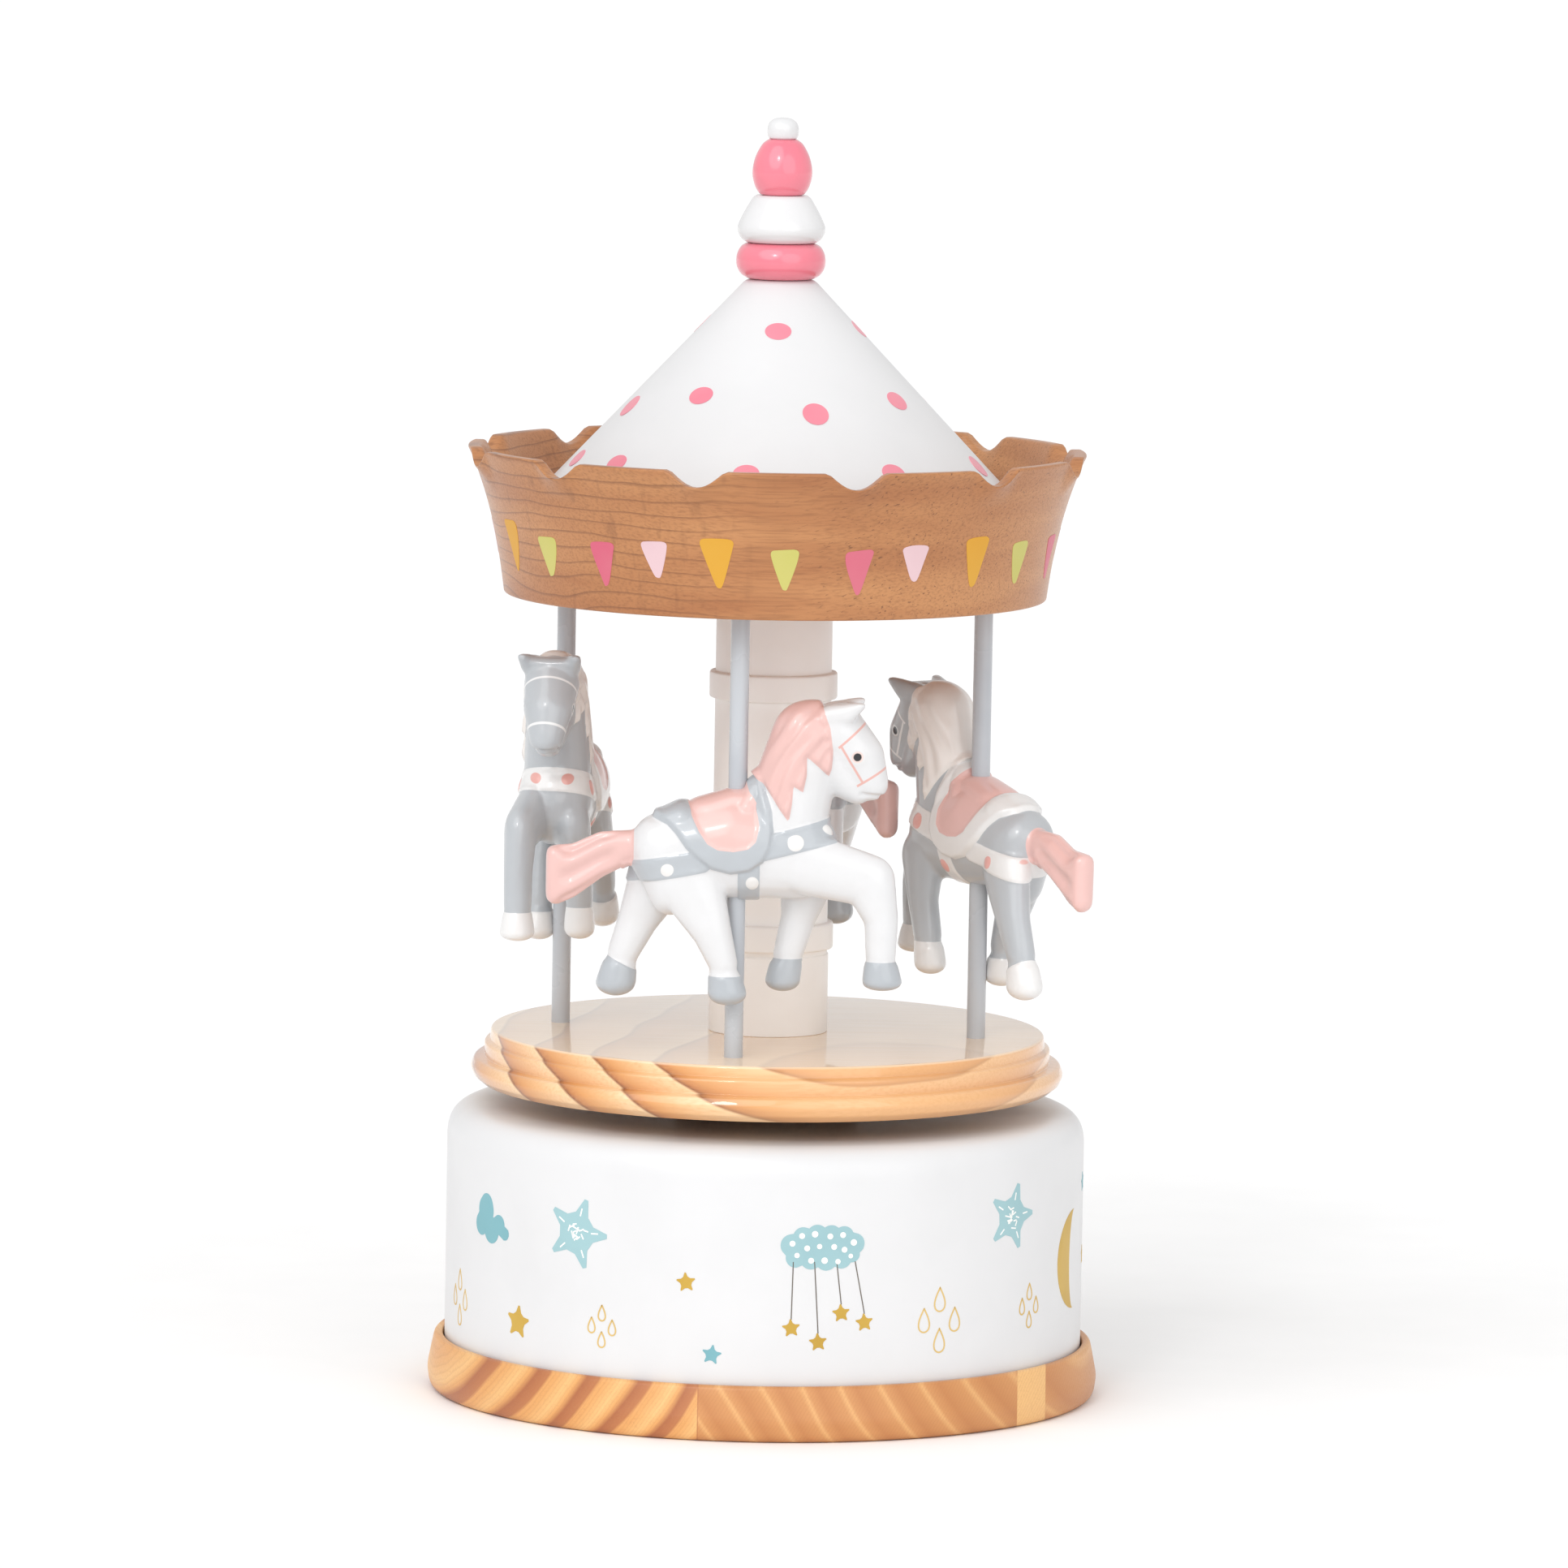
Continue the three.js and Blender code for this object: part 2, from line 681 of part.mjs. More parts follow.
function column() {
  const outline = [
    [0, deckTop - tenonLength],
    [tenonRadius, deckTop - tenonLength],
    [tenonRadius, deckTop],
    [columnRadius + 0.25, deckTop],
  ];
  for (const middle of columnBeads) {
    const z = deckTop + middle;
    const half = columnBeadHeight / 2;
    outline.push([columnRadius + 0.25, z - half - 0.8]);
    outline.push([columnRadius, z - half]);
    for (const share of [-0.7, 0, 0.7]) {
      outline.push([columnRadius + columnBead * Math.sqrt(1 - share * share * 0.9), z + share * half]);
    }
    outline.push([columnRadius, z + half]);
  }
  outline.push([columnRadius, crownBottom]);
  outline.push([tenonRadius, crownBottom]);
  outline.push([tenonRadius, crownBottom + tenonLength]);
  outline.push([0, crownBottom + tenonLength]);
  return turned(outline, middleRound);
}

function pole([x, y]) {
  return rod(poleRadius, deckTop - poleSocket, crownBottom + poleSocket, x, y);
}

// how far the crown's outside stands out past its bottom edge, at a share of its height
function crownFlareAt(share) {
  return 0.16 * crownFlare * share + 0.84 * crownFlare * Math.pow(share, 5);
}

function crown() {
  const steps = 6;
  const outside = [];
  for (let i = 0; i <= steps; i++) {
    const share = Math.pow(i / steps, 0.6);
    outside.push([crownRadius + crownFlareAt(share), crownBottom + share * crownHeight]);
  }
  const floorShare = 1 - crownRecess / crownHeight;
  const inside = [];
  for (let i = 0; i <= 3; i++) {
    const share = 1 - (1 - floorShare) * (i / 3);
    inside.push([crownRadius + crownFlareAt(share) - crownWall, crownBottom + share * crownHeight]);
  }
  const body = turned([[0, crownBottom], ...outside, ...inside, [0, crownFloor]], 48);
  const scoopRadius = (notchWidth * notchWidth) / (8 * notchDepth) + notchDepth / 2;
  const scoops = Array.from({ length: notchCount }, (_, i) =>
    crossRod(scoopRadius, crownRadius - crownWall, crownRadius + 2 * crownFlare, 0, 0, middleRound)
      .translate(0, 0, crownTop + scoopRadius - notchDepth)
      .rotateZ(((i + 0.5) * 2 * Math.PI) / notchCount),
  );
  return cut(body, [
    ...scoops,
    rod(tenonRadius + seatGap, crownBottom - 1, crownBottom + tenonLength + seatGap, 0, 0, middleRound),
    ...polePlaces().map(([x, y]) =>
      rod(poleRadius + seatGap, crownBottom - 1, crownBottom + poleSocket + seatGap, x, y),
    ),
  ]);
}

function roofCone() {
  const bore = dowelRadius + seatGap;
  const floor = coneTop - dowelDepth;
  return turned([
    [0, crownFloor],
    [coneBottomRadius, crownFloor],
    [coneTopRadius + coneSlope * 1.2, coneTop - 1.2],
    [coneTopRadius, coneTop - 0.5],
    [coneTopRadius - 0.6, coneTop],
    [bore, coneTop],
    [bore, floor],
    [0, floor],
  ]);
}

const discTop = coneTop + finialDiscHeight;
const bellTop = discTop + finialBellHeight;
const eggTop = bellTop + finialEggHeight;
const ballTop = eggTop + finialBallHeight;
const dowelTop = eggTop + finialBallHeight * 0.5;

// a turned bead bored for the dowel, from [radius, share of height] points up its outside
function bead(bottom, height, outside) {
  const bore = dowelRadius + seatGap / 2;
  const points = outside.map(([radius, share]) => [radius, bottom + share * height]);
  return turned([[bore, bottom], ...points, [bore, bottom + height]], middleRound);
}

function finialDisc() {
  return bead(coneTop, finialDiscHeight, [[5, 0], [6.9, 0.18], [7.7, 0.5], [7.2, 0.8], [6.1, 1]]);
}

function finialBell() {
  return bead(discTop, finialBellHeight, [[6, 0], [7.2, 0.14], [7.55, 0.32], [6.6, 0.62], [4.8, 1]]);
}

function finialEgg() {
  return bead(bellTop, finialEggHeight, [[4.6, 0], [4.7, 0.12], [5.15, 0.4], [4.4, 0.72], [2.4, 1]]);
}

function finialBall() {
  const radius = 2.7;
  const ball = turned(
    [[0, eggTop], [radius - 0.3, eggTop], [radius, eggTop + 0.9],
      [2.2, ballTop - 0.9], [1.1, ballTop - 0.15], [0, ballTop]],
    middleRound,
  );
  return cut(ball, [rod(dowelRadius + seatGap / 2, eggTop - 1, dowelTop + seatGap)]);
}

function finialDowel() {
  return rod(dowelRadius, coneTop - dowelDepth + seatGap, dowelTop);
}

// Horses: u runs forwards from the pole, v to the horse's left, and w up from its lowest hoof

function ball([u, v, w], [alongU, alongV, alongW], rows = 4) {
  return new THREE.SphereGeometry(1, 6, rows)
    .rotateX(Math.PI / 2)
    .scale(alongU, alongV, alongW)
    .translate(u, v, w);
}

// the tight skin round some balls
function hull(balls) {
  const points = [];
  for (const each of balls) {
    const place = each.getAttribute("position");
    for (let i = 0; i < place.count; i++) points.push(new THREE.Vector3().fromBufferAttribute(place, i));
  }
  return new ConvexGeometry(points);
}

// a leg as a chain of thigh, knee and ankle, and the hoof below it
function leg(side, chain, hoofTop, hoofSole) {
  const pieces = [];
  const balls = chain.map(([u, v, w, reach, width]) => ball([u, side * v, w], [reach, width, reach]));
  for (let i = 1; i < balls.length; i++) pieces.push(hull([balls[i - 1], balls[i]]));
  const hoof = [hoofTop, hoofSole].map(([u, v, w, reach, height]) =>
    ball([u, side * v, w], [reach, reach * 0.9, height], 3),
  );
  pieces.push(hull(hoof));
  return pieces;
}

function horse() {
  const torso = hull([
    ball([-11, 0, 25.2], [6.8, 6, 7]),
    ball([-1, 0, 26.2], [6, 6.4, 8.6]),
    ball([10, 0, 25.4], [7, 6.1, 7.8]),
  ]);
  const neck = hull([ball([8.6, 0, 31], [7, 5.6, 6]), ball([11.6, 0, 45], [6, 5, 6])]);
  const head = hull([ball([16.8, 0, 45.6], [4.6, 4.7, 5.2]), ball([22.2, 0, 37.3], [2.8, 2.8, 2.8])]);
  const ears = [-1, 1].map((side) =>
    hull([ball([17.6, side * 3.2, 48.8], [2.2, 1.5, 1.8], 3),
      ball([20.1, side * 4.5, 50.9], [0.8, 0.8, 0.6], 3)]),
  );
  const tailRoot = ball([-16.6, 0, 26.4], [1.8, 1.6, 2.4], 3);
  const tailMiddle = ball([-24.6, 0, 23.4], [2.2, 2.2, 4.2], 3);
  const tailEnd = ball([-31, 0, 20.8], [1.6, 1.9, 4.4], 3);
  const right = -1;
  const left = 1;
  const whole = join([
    torso,
    neck,
    head,
    ...ears,
    hull([tailRoot, tailMiddle]),
    hull([tailMiddle, tailEnd]),
    ...leg(
      right,
      [[12, 3.2, 24, 5.2, 3], [22.6, 4.2, 21.4, 4.3, 2.6], [24.2, 4.2, 9, 2.6, 2.4]],
      [24.3, 4.2, 6.9, 3, 1.2],
      [24.4, 4.2, 4.4, 3.2, 1.4],
    ),
    ...leg(left, [[10.5, 3.2, 21.5, 4.6, 3], [8.4, 4.2, 9, 2.6, 2.4]],
      [8, 4.2, 6.6, 2.7, 1.4], [7.5, 4.2, 3.9, 2.8, 1.9]),
    ...leg(
      right,
      [[-7.6, 3.2, 20.8, 5.6, 3], [-2.6, 4.2, 7.6, 2.6, 2.4]],
      [-2.2, 4.2, 5.4, 3, 1.4],
      [-1.6, 4.2, 2, 3.2, 2],
    ),
    ...leg(
      left,
      [[-12.8, 3.2, 21, 5.2, 3], [-19.2, 4.2, 8, 2.8, 2.4]],
      [-19.8, 4.2, 5.8, 3.1, 1.6],
      [-20.5, 4.2, 2.9, 3.2, 2.2],
    ),
  ]);
  return cut(whole, [rod(poleRadius + seatGap, -1, 60)]);
}

// name, heading in degrees from +X, share of the spare height that is below its lowest hoof, and paint
const horses = [
  { name: "front", heading: 0, lift: 0.393, material: whiteGloss },
  { name: "right", heading: 124, lift: 0.372, material: horseGrey },
  { name: "back", heading: 118, lift: 0.686, material: whiteGloss },
  { name: "left", heading: 263, lift: 0.59, material: horseGrey },
];

// Assembly

function addScrews(name, places, seatZ, length, material) {
  places.forEach(([x, y], i) => {
    add(`${name}_${i + 1}`, screw(seatZ, length), material).position.set(x, y, 0);
  });
}

add("base_ring", baseRing(), pine);
add("drum_shell", drumShell(), whiteSatin);
add("bottom_cover", bottomCover(), fibreboard);
addScrews("cover_screw", coverScrewPlaces(), coverScrewSeat, drumBottom - coverScrewSeat - seatGap, zinc);

add("bedplate", bedplate(), zinc);
addScrews("bedplate_screw", bedplateScrewPlaces(), bedplateBottom, bedplateThickness + 3.5, steel);
add("spring_case", springCase(), brass);
add("mainspring", mainspring(), springSteel);
add("spindle_bush", spindleBush(), brass);
add("comb_block", combBlock(), zinc);
add("comb", comb(), springSteel);
addScrews("comb_screw", combScrewPlaces(), cylinderZ - combThickness / 2, 5, steel);
const innerArbors = [[arborRadius, 0]];
const outerArbors = [[arborRadius, 0], [arborRadius, governorY]];
const bracketBottom = cylinderZ - bracketWidth / 2;
const bracketSide = bracketWidth / 2;
const innerBracket = bracket(innerBracketX, [-bracketSide, bracketSide], bracketBottom, innerArbors);
add("cylinder_bracket_inner", innerBracket, steel);
const outerBracket = bracket(outerBracketX, [-bracketSide, governorY + 3], bracketBottom, outerArbors);
add("cylinder_bracket_outer", outerBracket, steel);
add("governor_frame", governorFrame(), steel);

add("pin_cylinder", pinCylinder(), brass);
add("cylinder_arbor", cylinderArbor(), steel);
const arborBore = arborRadius + shaftGap / 2;
const halfPitch = Math.PI / cylinderPinionTeeth;
add(
  "cylinder_pinion",
  crossGear(
    cylinderPinionTeeth,
    crownModule,
    crownToothLength,
    arborBore,
    crownPitchRadius - crownToothLength / 2,
    0,
    cylinderZ,
    halfPitch,
  ),
  brass,
);
add(
  "cylinder_wheel",
  crossGear(cylinderWheelTeeth, trainModule, wheelThickness, arborBore, cylinderWheelX, 0, cylinderZ),
  brass,
);

add("governor_arbor", governorArbor(), steel);
add(
  "governor_pinion",
  crossGear(governorPinionTeeth, trainModule, wheelThickness, arborBore, cylinderWheelX, governorY, cylinderZ),
  brass,
);
add(
  "worm_wheel",
  crossGear(wormWheelTeeth, trainModule, wheelThickness, arborBore, wormWheelX, governorY, cylinderZ),
  blackPlastic,
);
add("worm_shaft", wormShaft(), steel);
add("air_brake_fan", airBrakeFan(), blackPlastic);

add("spindle", spindle(), steel);
add("crown_wheel", crownWheel(), brass);
add("turntable_hub", turntableHub(), blackPlastic);
addScrews("hub_screw", hubScrewPlaces(), hubScrewSeat, hubScrewLength, steel);
add("deck", deck(), varnishedPine);
add("column", column(), whiteSatin);
add("crown", crown(), beech);
add("roof_cone", roofCone(), whiteSatin);
add("finial_disc", finialDisc(), pinkGloss);
add("finial_bell", finialBell(), whiteGloss);
add("finial_egg", finialEgg(), pinkGloss);
add("finial_ball", finialBall(), whiteGloss);
add("finial_dowel", finialDowel(), pine);

horses.forEach(({ name, heading, lift, material }, i) => {
  const [x, y] = polePlaces()[i];
  add(`pole_${name}`, pole([x, y]), poleGrey);
  const mesh = add(`horse_${name}`, horse(), material);
  mesh.position.set(x, y, deckTop + lift * (columnHeight - horseHeight));
  mesh.rotation.z = heading * degrees;
});

export default root;
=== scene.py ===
# Carousel music box: a white printed drum, a turntable with four painted horses, a beech crown and a
# dotted roof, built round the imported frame. Metres, +Z up, the front at -Y.
import json
import math
import random
from functools import partial

import bmesh
import bpy
import numpy as np
from mathutils import Matrix, Vector


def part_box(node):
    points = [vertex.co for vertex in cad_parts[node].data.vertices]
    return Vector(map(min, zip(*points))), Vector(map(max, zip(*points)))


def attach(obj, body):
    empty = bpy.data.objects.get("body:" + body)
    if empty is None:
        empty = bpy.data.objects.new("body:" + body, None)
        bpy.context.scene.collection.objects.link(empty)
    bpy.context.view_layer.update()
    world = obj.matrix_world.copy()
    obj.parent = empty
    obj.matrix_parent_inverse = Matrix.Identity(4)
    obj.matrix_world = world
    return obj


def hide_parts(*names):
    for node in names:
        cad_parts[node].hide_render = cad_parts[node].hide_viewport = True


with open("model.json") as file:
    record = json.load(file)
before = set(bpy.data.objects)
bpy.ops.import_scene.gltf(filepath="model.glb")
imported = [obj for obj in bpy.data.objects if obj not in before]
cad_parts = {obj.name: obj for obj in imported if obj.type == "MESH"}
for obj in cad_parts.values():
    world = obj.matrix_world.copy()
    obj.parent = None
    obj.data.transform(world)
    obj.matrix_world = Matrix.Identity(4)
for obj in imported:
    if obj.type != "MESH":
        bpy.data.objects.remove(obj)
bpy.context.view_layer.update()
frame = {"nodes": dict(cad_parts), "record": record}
mm = 0.001


# ---- small helpers: colour, nodes, meshes

def linear(hexColour):  # sRGB hex to linear red, green, blue and alpha
    shares = [int(hexColour[i:i + 2], 16) / 255 for i in (1, 3, 5)]
    return tuple(c / 12.92 if c <= 0.04045 else ((c + 0.055) / 1.055) ** 2.4 for c in shares) + (1.0,)


def connect(node, inputs):
    # inputs by name or in order: each is a value, a hex colour, or a node or socket to link from
    for name, value in inputs.items() if isinstance(inputs, dict) else enumerate(inputs):
        if isinstance(value, bpy.types.Node):
            value = next(output for output in value.outputs if output.enabled)
        if isinstance(value, bpy.types.NodeSocket):
            node.id_data.links.new(value, node.inputs[name])
        else:
            node.inputs[name].default_value = linear(value) if isinstance(value, str) else value
    return node


def addNode(tree, kind, inputs={}, **choices):
    made = tree.nodes.new("ShaderNode" + kind)
    for name, value in choices.items():
        setattr(made, name, value)
    return connect(made, inputs)


def newMaterial(name, settings):  # the material, what adds a node to it, and its shader
    material = bpy.data.materials.new(name)
    material.use_nodes = True
    material.node_tree.nodes.clear()
    add = partial(addNode, material.node_tree)
    shader = add("BsdfPrincipled", settings)
    add("OutputMaterial", {"Surface": shader})
    return material, add, shader


def withStops(node, stops):  # a colour ramp's stops as (place, colour) from low to high
    elements = node.color_ramp.elements
    while len(elements) < len(stops):
        elements.new(0.5)
    for element, (place, colour) in zip(elements, stops):
        element.position = place
        element.color = linear(colour)
    return node


def coordinates(add, scale=(1, 1, 1), turn=(0, 0, 0), place=(0, 0, 0)):
    # Object coordinates, turned by degrees and scaled to so many per metre
    where = add("TexCoord").outputs["Object"]
    turned = add("Mapping", {"Vector": where, "Rotation": [math.radians(a) for a in turn],
                             "Location": place}, vector_type="POINT")
    return add("Mapping", {"Vector": turned, "Scale": scale})


def roundedOutline(corners, steps=6):
    # corners are (radius, height, fillet) in millimetres; each fillet becomes an arc
    points = []
    count = len(corners)
    for i, (r, z, fillet) in enumerate(corners):
        here = Vector((r, z))
        before = Vector(corners[i - 1][:2]) - here
        after = Vector(corners[(i + 1) % count][:2]) - here
        if fillet <= 0:
            points.append(here * mm)
            continue
        half = before.angle(after) / 2
        reach = min(fillet / math.tan(half), before.length * 0.49, after.length * 0.49)
        start = here + before.normalized() * reach
        end = here + after.normalized() * reach
        for k in range(steps + 1):
            t = k / steps
            points.append((start * (1 - t) ** 2 + here * 2 * t * (1 - t) + end * t ** 2) * mm)
    return points


def curvedOutline(points, steps=6):  # a smooth run through (radius, height) points in millimetres
    made = []
    for k in range(len(points) - 1):
        p0, p1, p2, p3 = (Vector(points[min(max(k + o, 0), len(points) - 1)]) for o in (-1, 0, 1, 2))
        for s in range(steps):
            t = s / steps
            made.append(((2 * p1) + (p2 - p0) * t + (2 * p0 - 5 * p1 + 4 * p2 - p3) * t * t
                         + (3 * p1 - p0 - 3 * p2 + p3) * t ** 3) * 0.5 * mm)
    return made + [Vector(points[-1]) * mm]


def turned(outline, steps=160, closed=True):  # a body of revolution from an outline of (radius, height)
    bm = bmesh.new()
    verts = [bm.verts.new((max(p[0], 0), 0, p[1])) for p in outline]
    edges = [bm.edges.new(pair) for pair in zip(verts, verts[1:])]
    if closed and outline[0][0] > 1e-7:
        edges.append(bm.edges.new((verts[-1], verts[0])))
    bmesh.ops.spin(bm, geom=verts + edges, axis=(0, 0, 1), cent=(0, 0, 0), angle=2 * math.pi,
                   steps=steps, use_merge=True)
    bmesh.ops.remove_doubles(bm, verts=bm.verts, dist=1e-6)
    bmesh.ops.recalc_face_normals(bm, faces=bm.faces)
    return bm


def addPiece(name, bm, material, body, stands=(), sharp=40):
    mesh = bpy.data.meshes.new(name)
    bm.to_mesh(mesh)
    bm.free()
    return addMesh(name, mesh, material, body, stands, sharp)


def addMesh(name, mesh, material, body, stands=(), sharp=40):
    mesh.materials.append(material)
    mesh.shade_smooth()
    mesh.set_sharp_from_angle(angle=math.radians(sharp))
    piece = bpy.data.objects.new(name, mesh)
    bpy.context.scene.collection.objects.link(piece)
    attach(piece, body)
    if stands:
        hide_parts(*stands)
    return piece


# ---- finishes

lacquerTypes = {
    # colour, its dimmer shade, roughness, coat weight, orange peel depth in millimetres
    "satinWhiteLacquer": ("#DDDDDE", "#DADADB", 0.40, 0.12, 0.010),
     # the drum and roof: even and softly satin
    # the column's white is a brighter, warmer copy of the drum's white: painted light and warm bounce for the
    # column in the crown's shade
    "columnPaintedLightLacquer": ("#FAF7F4", "#F6F2EE", 0.42, 0.08, 0.010),  # warmer white, as it stands in the shade
    "glossWhiteLacquer": ("#DFDFE0", "#DADADB", 0.20, 0.60, 0.006),  # wet-looking white beads
    "glossPinkLacquer": ("#EC8090", "#E67587", 0.20, 0.60, 0.006),  # wet-looking coral pink beads
    "paleGreyPolePaint": ("#BCC0C5", "#B3B7BD", 0.28, 0.35, 0.008),  # cool grey, slightly shiny
    "pinkDotPaint": ("#E98C9C", "#E37F91", 0.35, 0.20, 0.010),  # dots with a slightly deeper edge
    "goldFlagPaint": ("#D59E2E", "#D59922", 0.50, 0.05, 0.012),
    "limeFlagPaint": ("#C6BE6C", "#C1BD62", 0.50, 0.05, 0.012),
    "darkPinkFlagPaint": ("#CF6A7C", "#CF5D76", 0.50, 0.05, 0.012),
    "palePinkFlagPaint": ("#DDBDC2", "#D4B0B7", 0.50, 0.05, 0.012),
    "paleTealPrint": ("#9DC1C6", "#93B8BE", 0.50, 0.05, 0.010),
    "tealPrint": ("#79AFB8", "#6FA5AF", 0.50, 0.05, 0.010),
    "goldPrint": ("#C9A441", "#BA9434", 0.45, 0.05, 0.010),
    "goldLinePrint": ("#D8B873", "#C9A75E", 0.50, 0.00, 0.010),
    "stringPrint": ("#6E655C", "#5B534B", 0.55, 0.00, 0.010),
    "whitePrint": ("#F7F6F3", "#EFEDE8", 0.50, 0.00, 0.010),
}


def lacquer(name):  # sprayed or printed paint: nearly even colour, a faint orange peel, a soft sheen
    colour, dim, roughness, coat, peelDepth = lacquerTypes[name]
    material, add, shader = newMaterial(name, {"IOR": 1.5, "Coat Weight": coat, "Coat Roughness": 0.1})
    where = coordinates(add)
    clouds = add("TexNoise", {"Vector": where, "Scale": 55, "Detail": 4})
    tone = add("Mix", {0: add("MapRange", (clouds, 0.4, 0.65)), 6: colour, 7: dim}, data_type="RGBA")
    peel = add("TexNoise", {"Vector": where, "Scale": 700, "Detail": 3})
    sheen = add("MapRange", (clouds, 0.3, 0.7, roughness * 0.85, roughness * 1.2))
    connect(shader, {"Base Color": tone, "Roughness": sheen,
                     "Normal": add("Bump", {"Height": peel, "Distance": peelDepth * mm, "Strength": 0.4})})
    return material


def ringsOf(add, distance, spacing, unevenness=0.9, patch=45):
    # 0 to 1 across each growth ring of a distance field in metres; spacing in millimetres
    count = add("Math", (distance, 1 / (spacing * mm)), operation="MULTIPLY")
    patches = add("Math", (add("TexNoise", {"Vector": coordinates(add), "Scale": patch, "Detail": 1}),
        unevenness), operation="MULTIPLY")
    return add("Math", (add("Math", (count, patches), operation="ADD"),), operation="FRACT")


def along(add, weights):  # how far each point lies along a direction, in metres
    return add("VectorMath", {0: coordinates(add), 1: weights}, operation="DOT_PRODUCT")


def fibresOf(add, turn, length, width, detail=4):  # streaks along the grain, sizes in millimetres
    scale = (1 / (length * mm), 1 / (width * mm), 1 / (width * mm))
    return add("TexNoise", {"Vector": coordinates(add, scale=scale, turn=turn), "Scale": 1, "Detail": detail})


pineLook = {"honey": "#DDA05F", "pale": "#E9B878", "tan": "#CC8F57", "brown": "#A9643C", "spacing": 6.4,
    "lean": 58, "paleSpacing": 5.2, "paleLean": -55, "jointAt": -10.6, "staveFrom": 43.5, "staveTo": 48.5}


def ringPineFinish():
    # laminated pine: broad brown growth rings leaning one way to the left of a glue joint, and pale ones
    # leaning the other way to its right, with one paler stave; a dull satin oil
    look = pineLook
    material, add, shader = newMaterial("satinLaminatedPine",
        {"IOR": 1.5, "Coat Weight": 0.12, "Coat Roughness": 0.2})
    across = along(add, (1, 0, 0))

    def leaning(angle):
        return (math.sin(math.radians(angle)), 0.15, -math.cos(math.radians(angle)))

    left = ringsOf(add, along(add, leaning(look["lean"])), look["spacing"], 0.9, 26)
    leftColour = withStops(add("ValToRGB", {"Fac": left}),
        [(0.0, look["honey"]), (0.3, look["pale"]), (0.46, look["honey"]), (0.6, look["brown"]),
        (0.84, "#B87446"), (0.9, look["honey"])])
    right = ringsOf(add, along(add, leaning(look["paleLean"])), look["paleSpacing"], 1.3, 26)
    rightColour = withStops(add("ValToRGB", {"Fac": right}),
        [(0.0, "#DDA76C"), (0.14, look["tan"]), (0.6, "#BF7F4A"), (0.9, look["tan"]), (1.0, "#DDA76C")])
    colour = add("Mix", {0: add("MapRange", (across, (look["jointAt"] - 0.04) * mm,
        (look["jointAt"] + 0.04) * mm)), 6: leftColour, 7: rightColour}, data_type="RGBA")
    stave = add("Math", (add("MapRange", (across, look["staveFrom"] * mm, (look["staveFrom"] + 0.1) * mm)),
        add("MapRange", (across, look["staveTo"] * mm, (look["staveTo"] - 0.1) * mm))), operation="MULTIPLY")
    colour = add("Mix", {0: stave, 6: colour, 7: look["pale"]}, data_type="RGBA")
    joint = add("Math", (across, look["jointAt"] * mm), operation="COMPARE")
    connect(joint, {2: 0.1 * mm})
    colour = add("Mix", {0: add("Math", (joint, 0.6), operation="MULTIPLY"), 6: colour, 7: look["brown"]},
        data_type="RGBA")
    streak = fibresOf(add, (0, 0, 0), 0.35, 0.35, 5)
    fine = ringsOf(add, along(add, leaning(look["lean"])), 0.55, 1.5, 120)
    for share, paint in (
            (add("MapRange", (fine, 0.55, 0.95, 0.0, 0.16)), look["brown"]),
            (add("MapRange", (streak, 0.5, 0.8, 0.0, 0.3)), "#B98353")):
        colour = add("Mix", {0: share, 6: colour, 7: paint}, data_type="RGBA")
    connect(shader, {"Base Color": colour,
                     "Roughness": add("MapRange", (streak, 0.3, 0.7, 0.38, 0.52)),
                     "Normal": add("Bump", {"Height": streak, "Distance": 0.03 * mm, "Strength": 0.35})})
    return material


# reflectedPale is a painted reflection: the pale cream laid over the deck's flat top
deckLook = {"pale": "#F5CFA0", "honey": "#E8B27A", "amber": "#C07A40", "dark": "#8A4D25",
    "reflectedPale": "#F8E4C9", "heart": (25, 128), "spacing": 7.4}


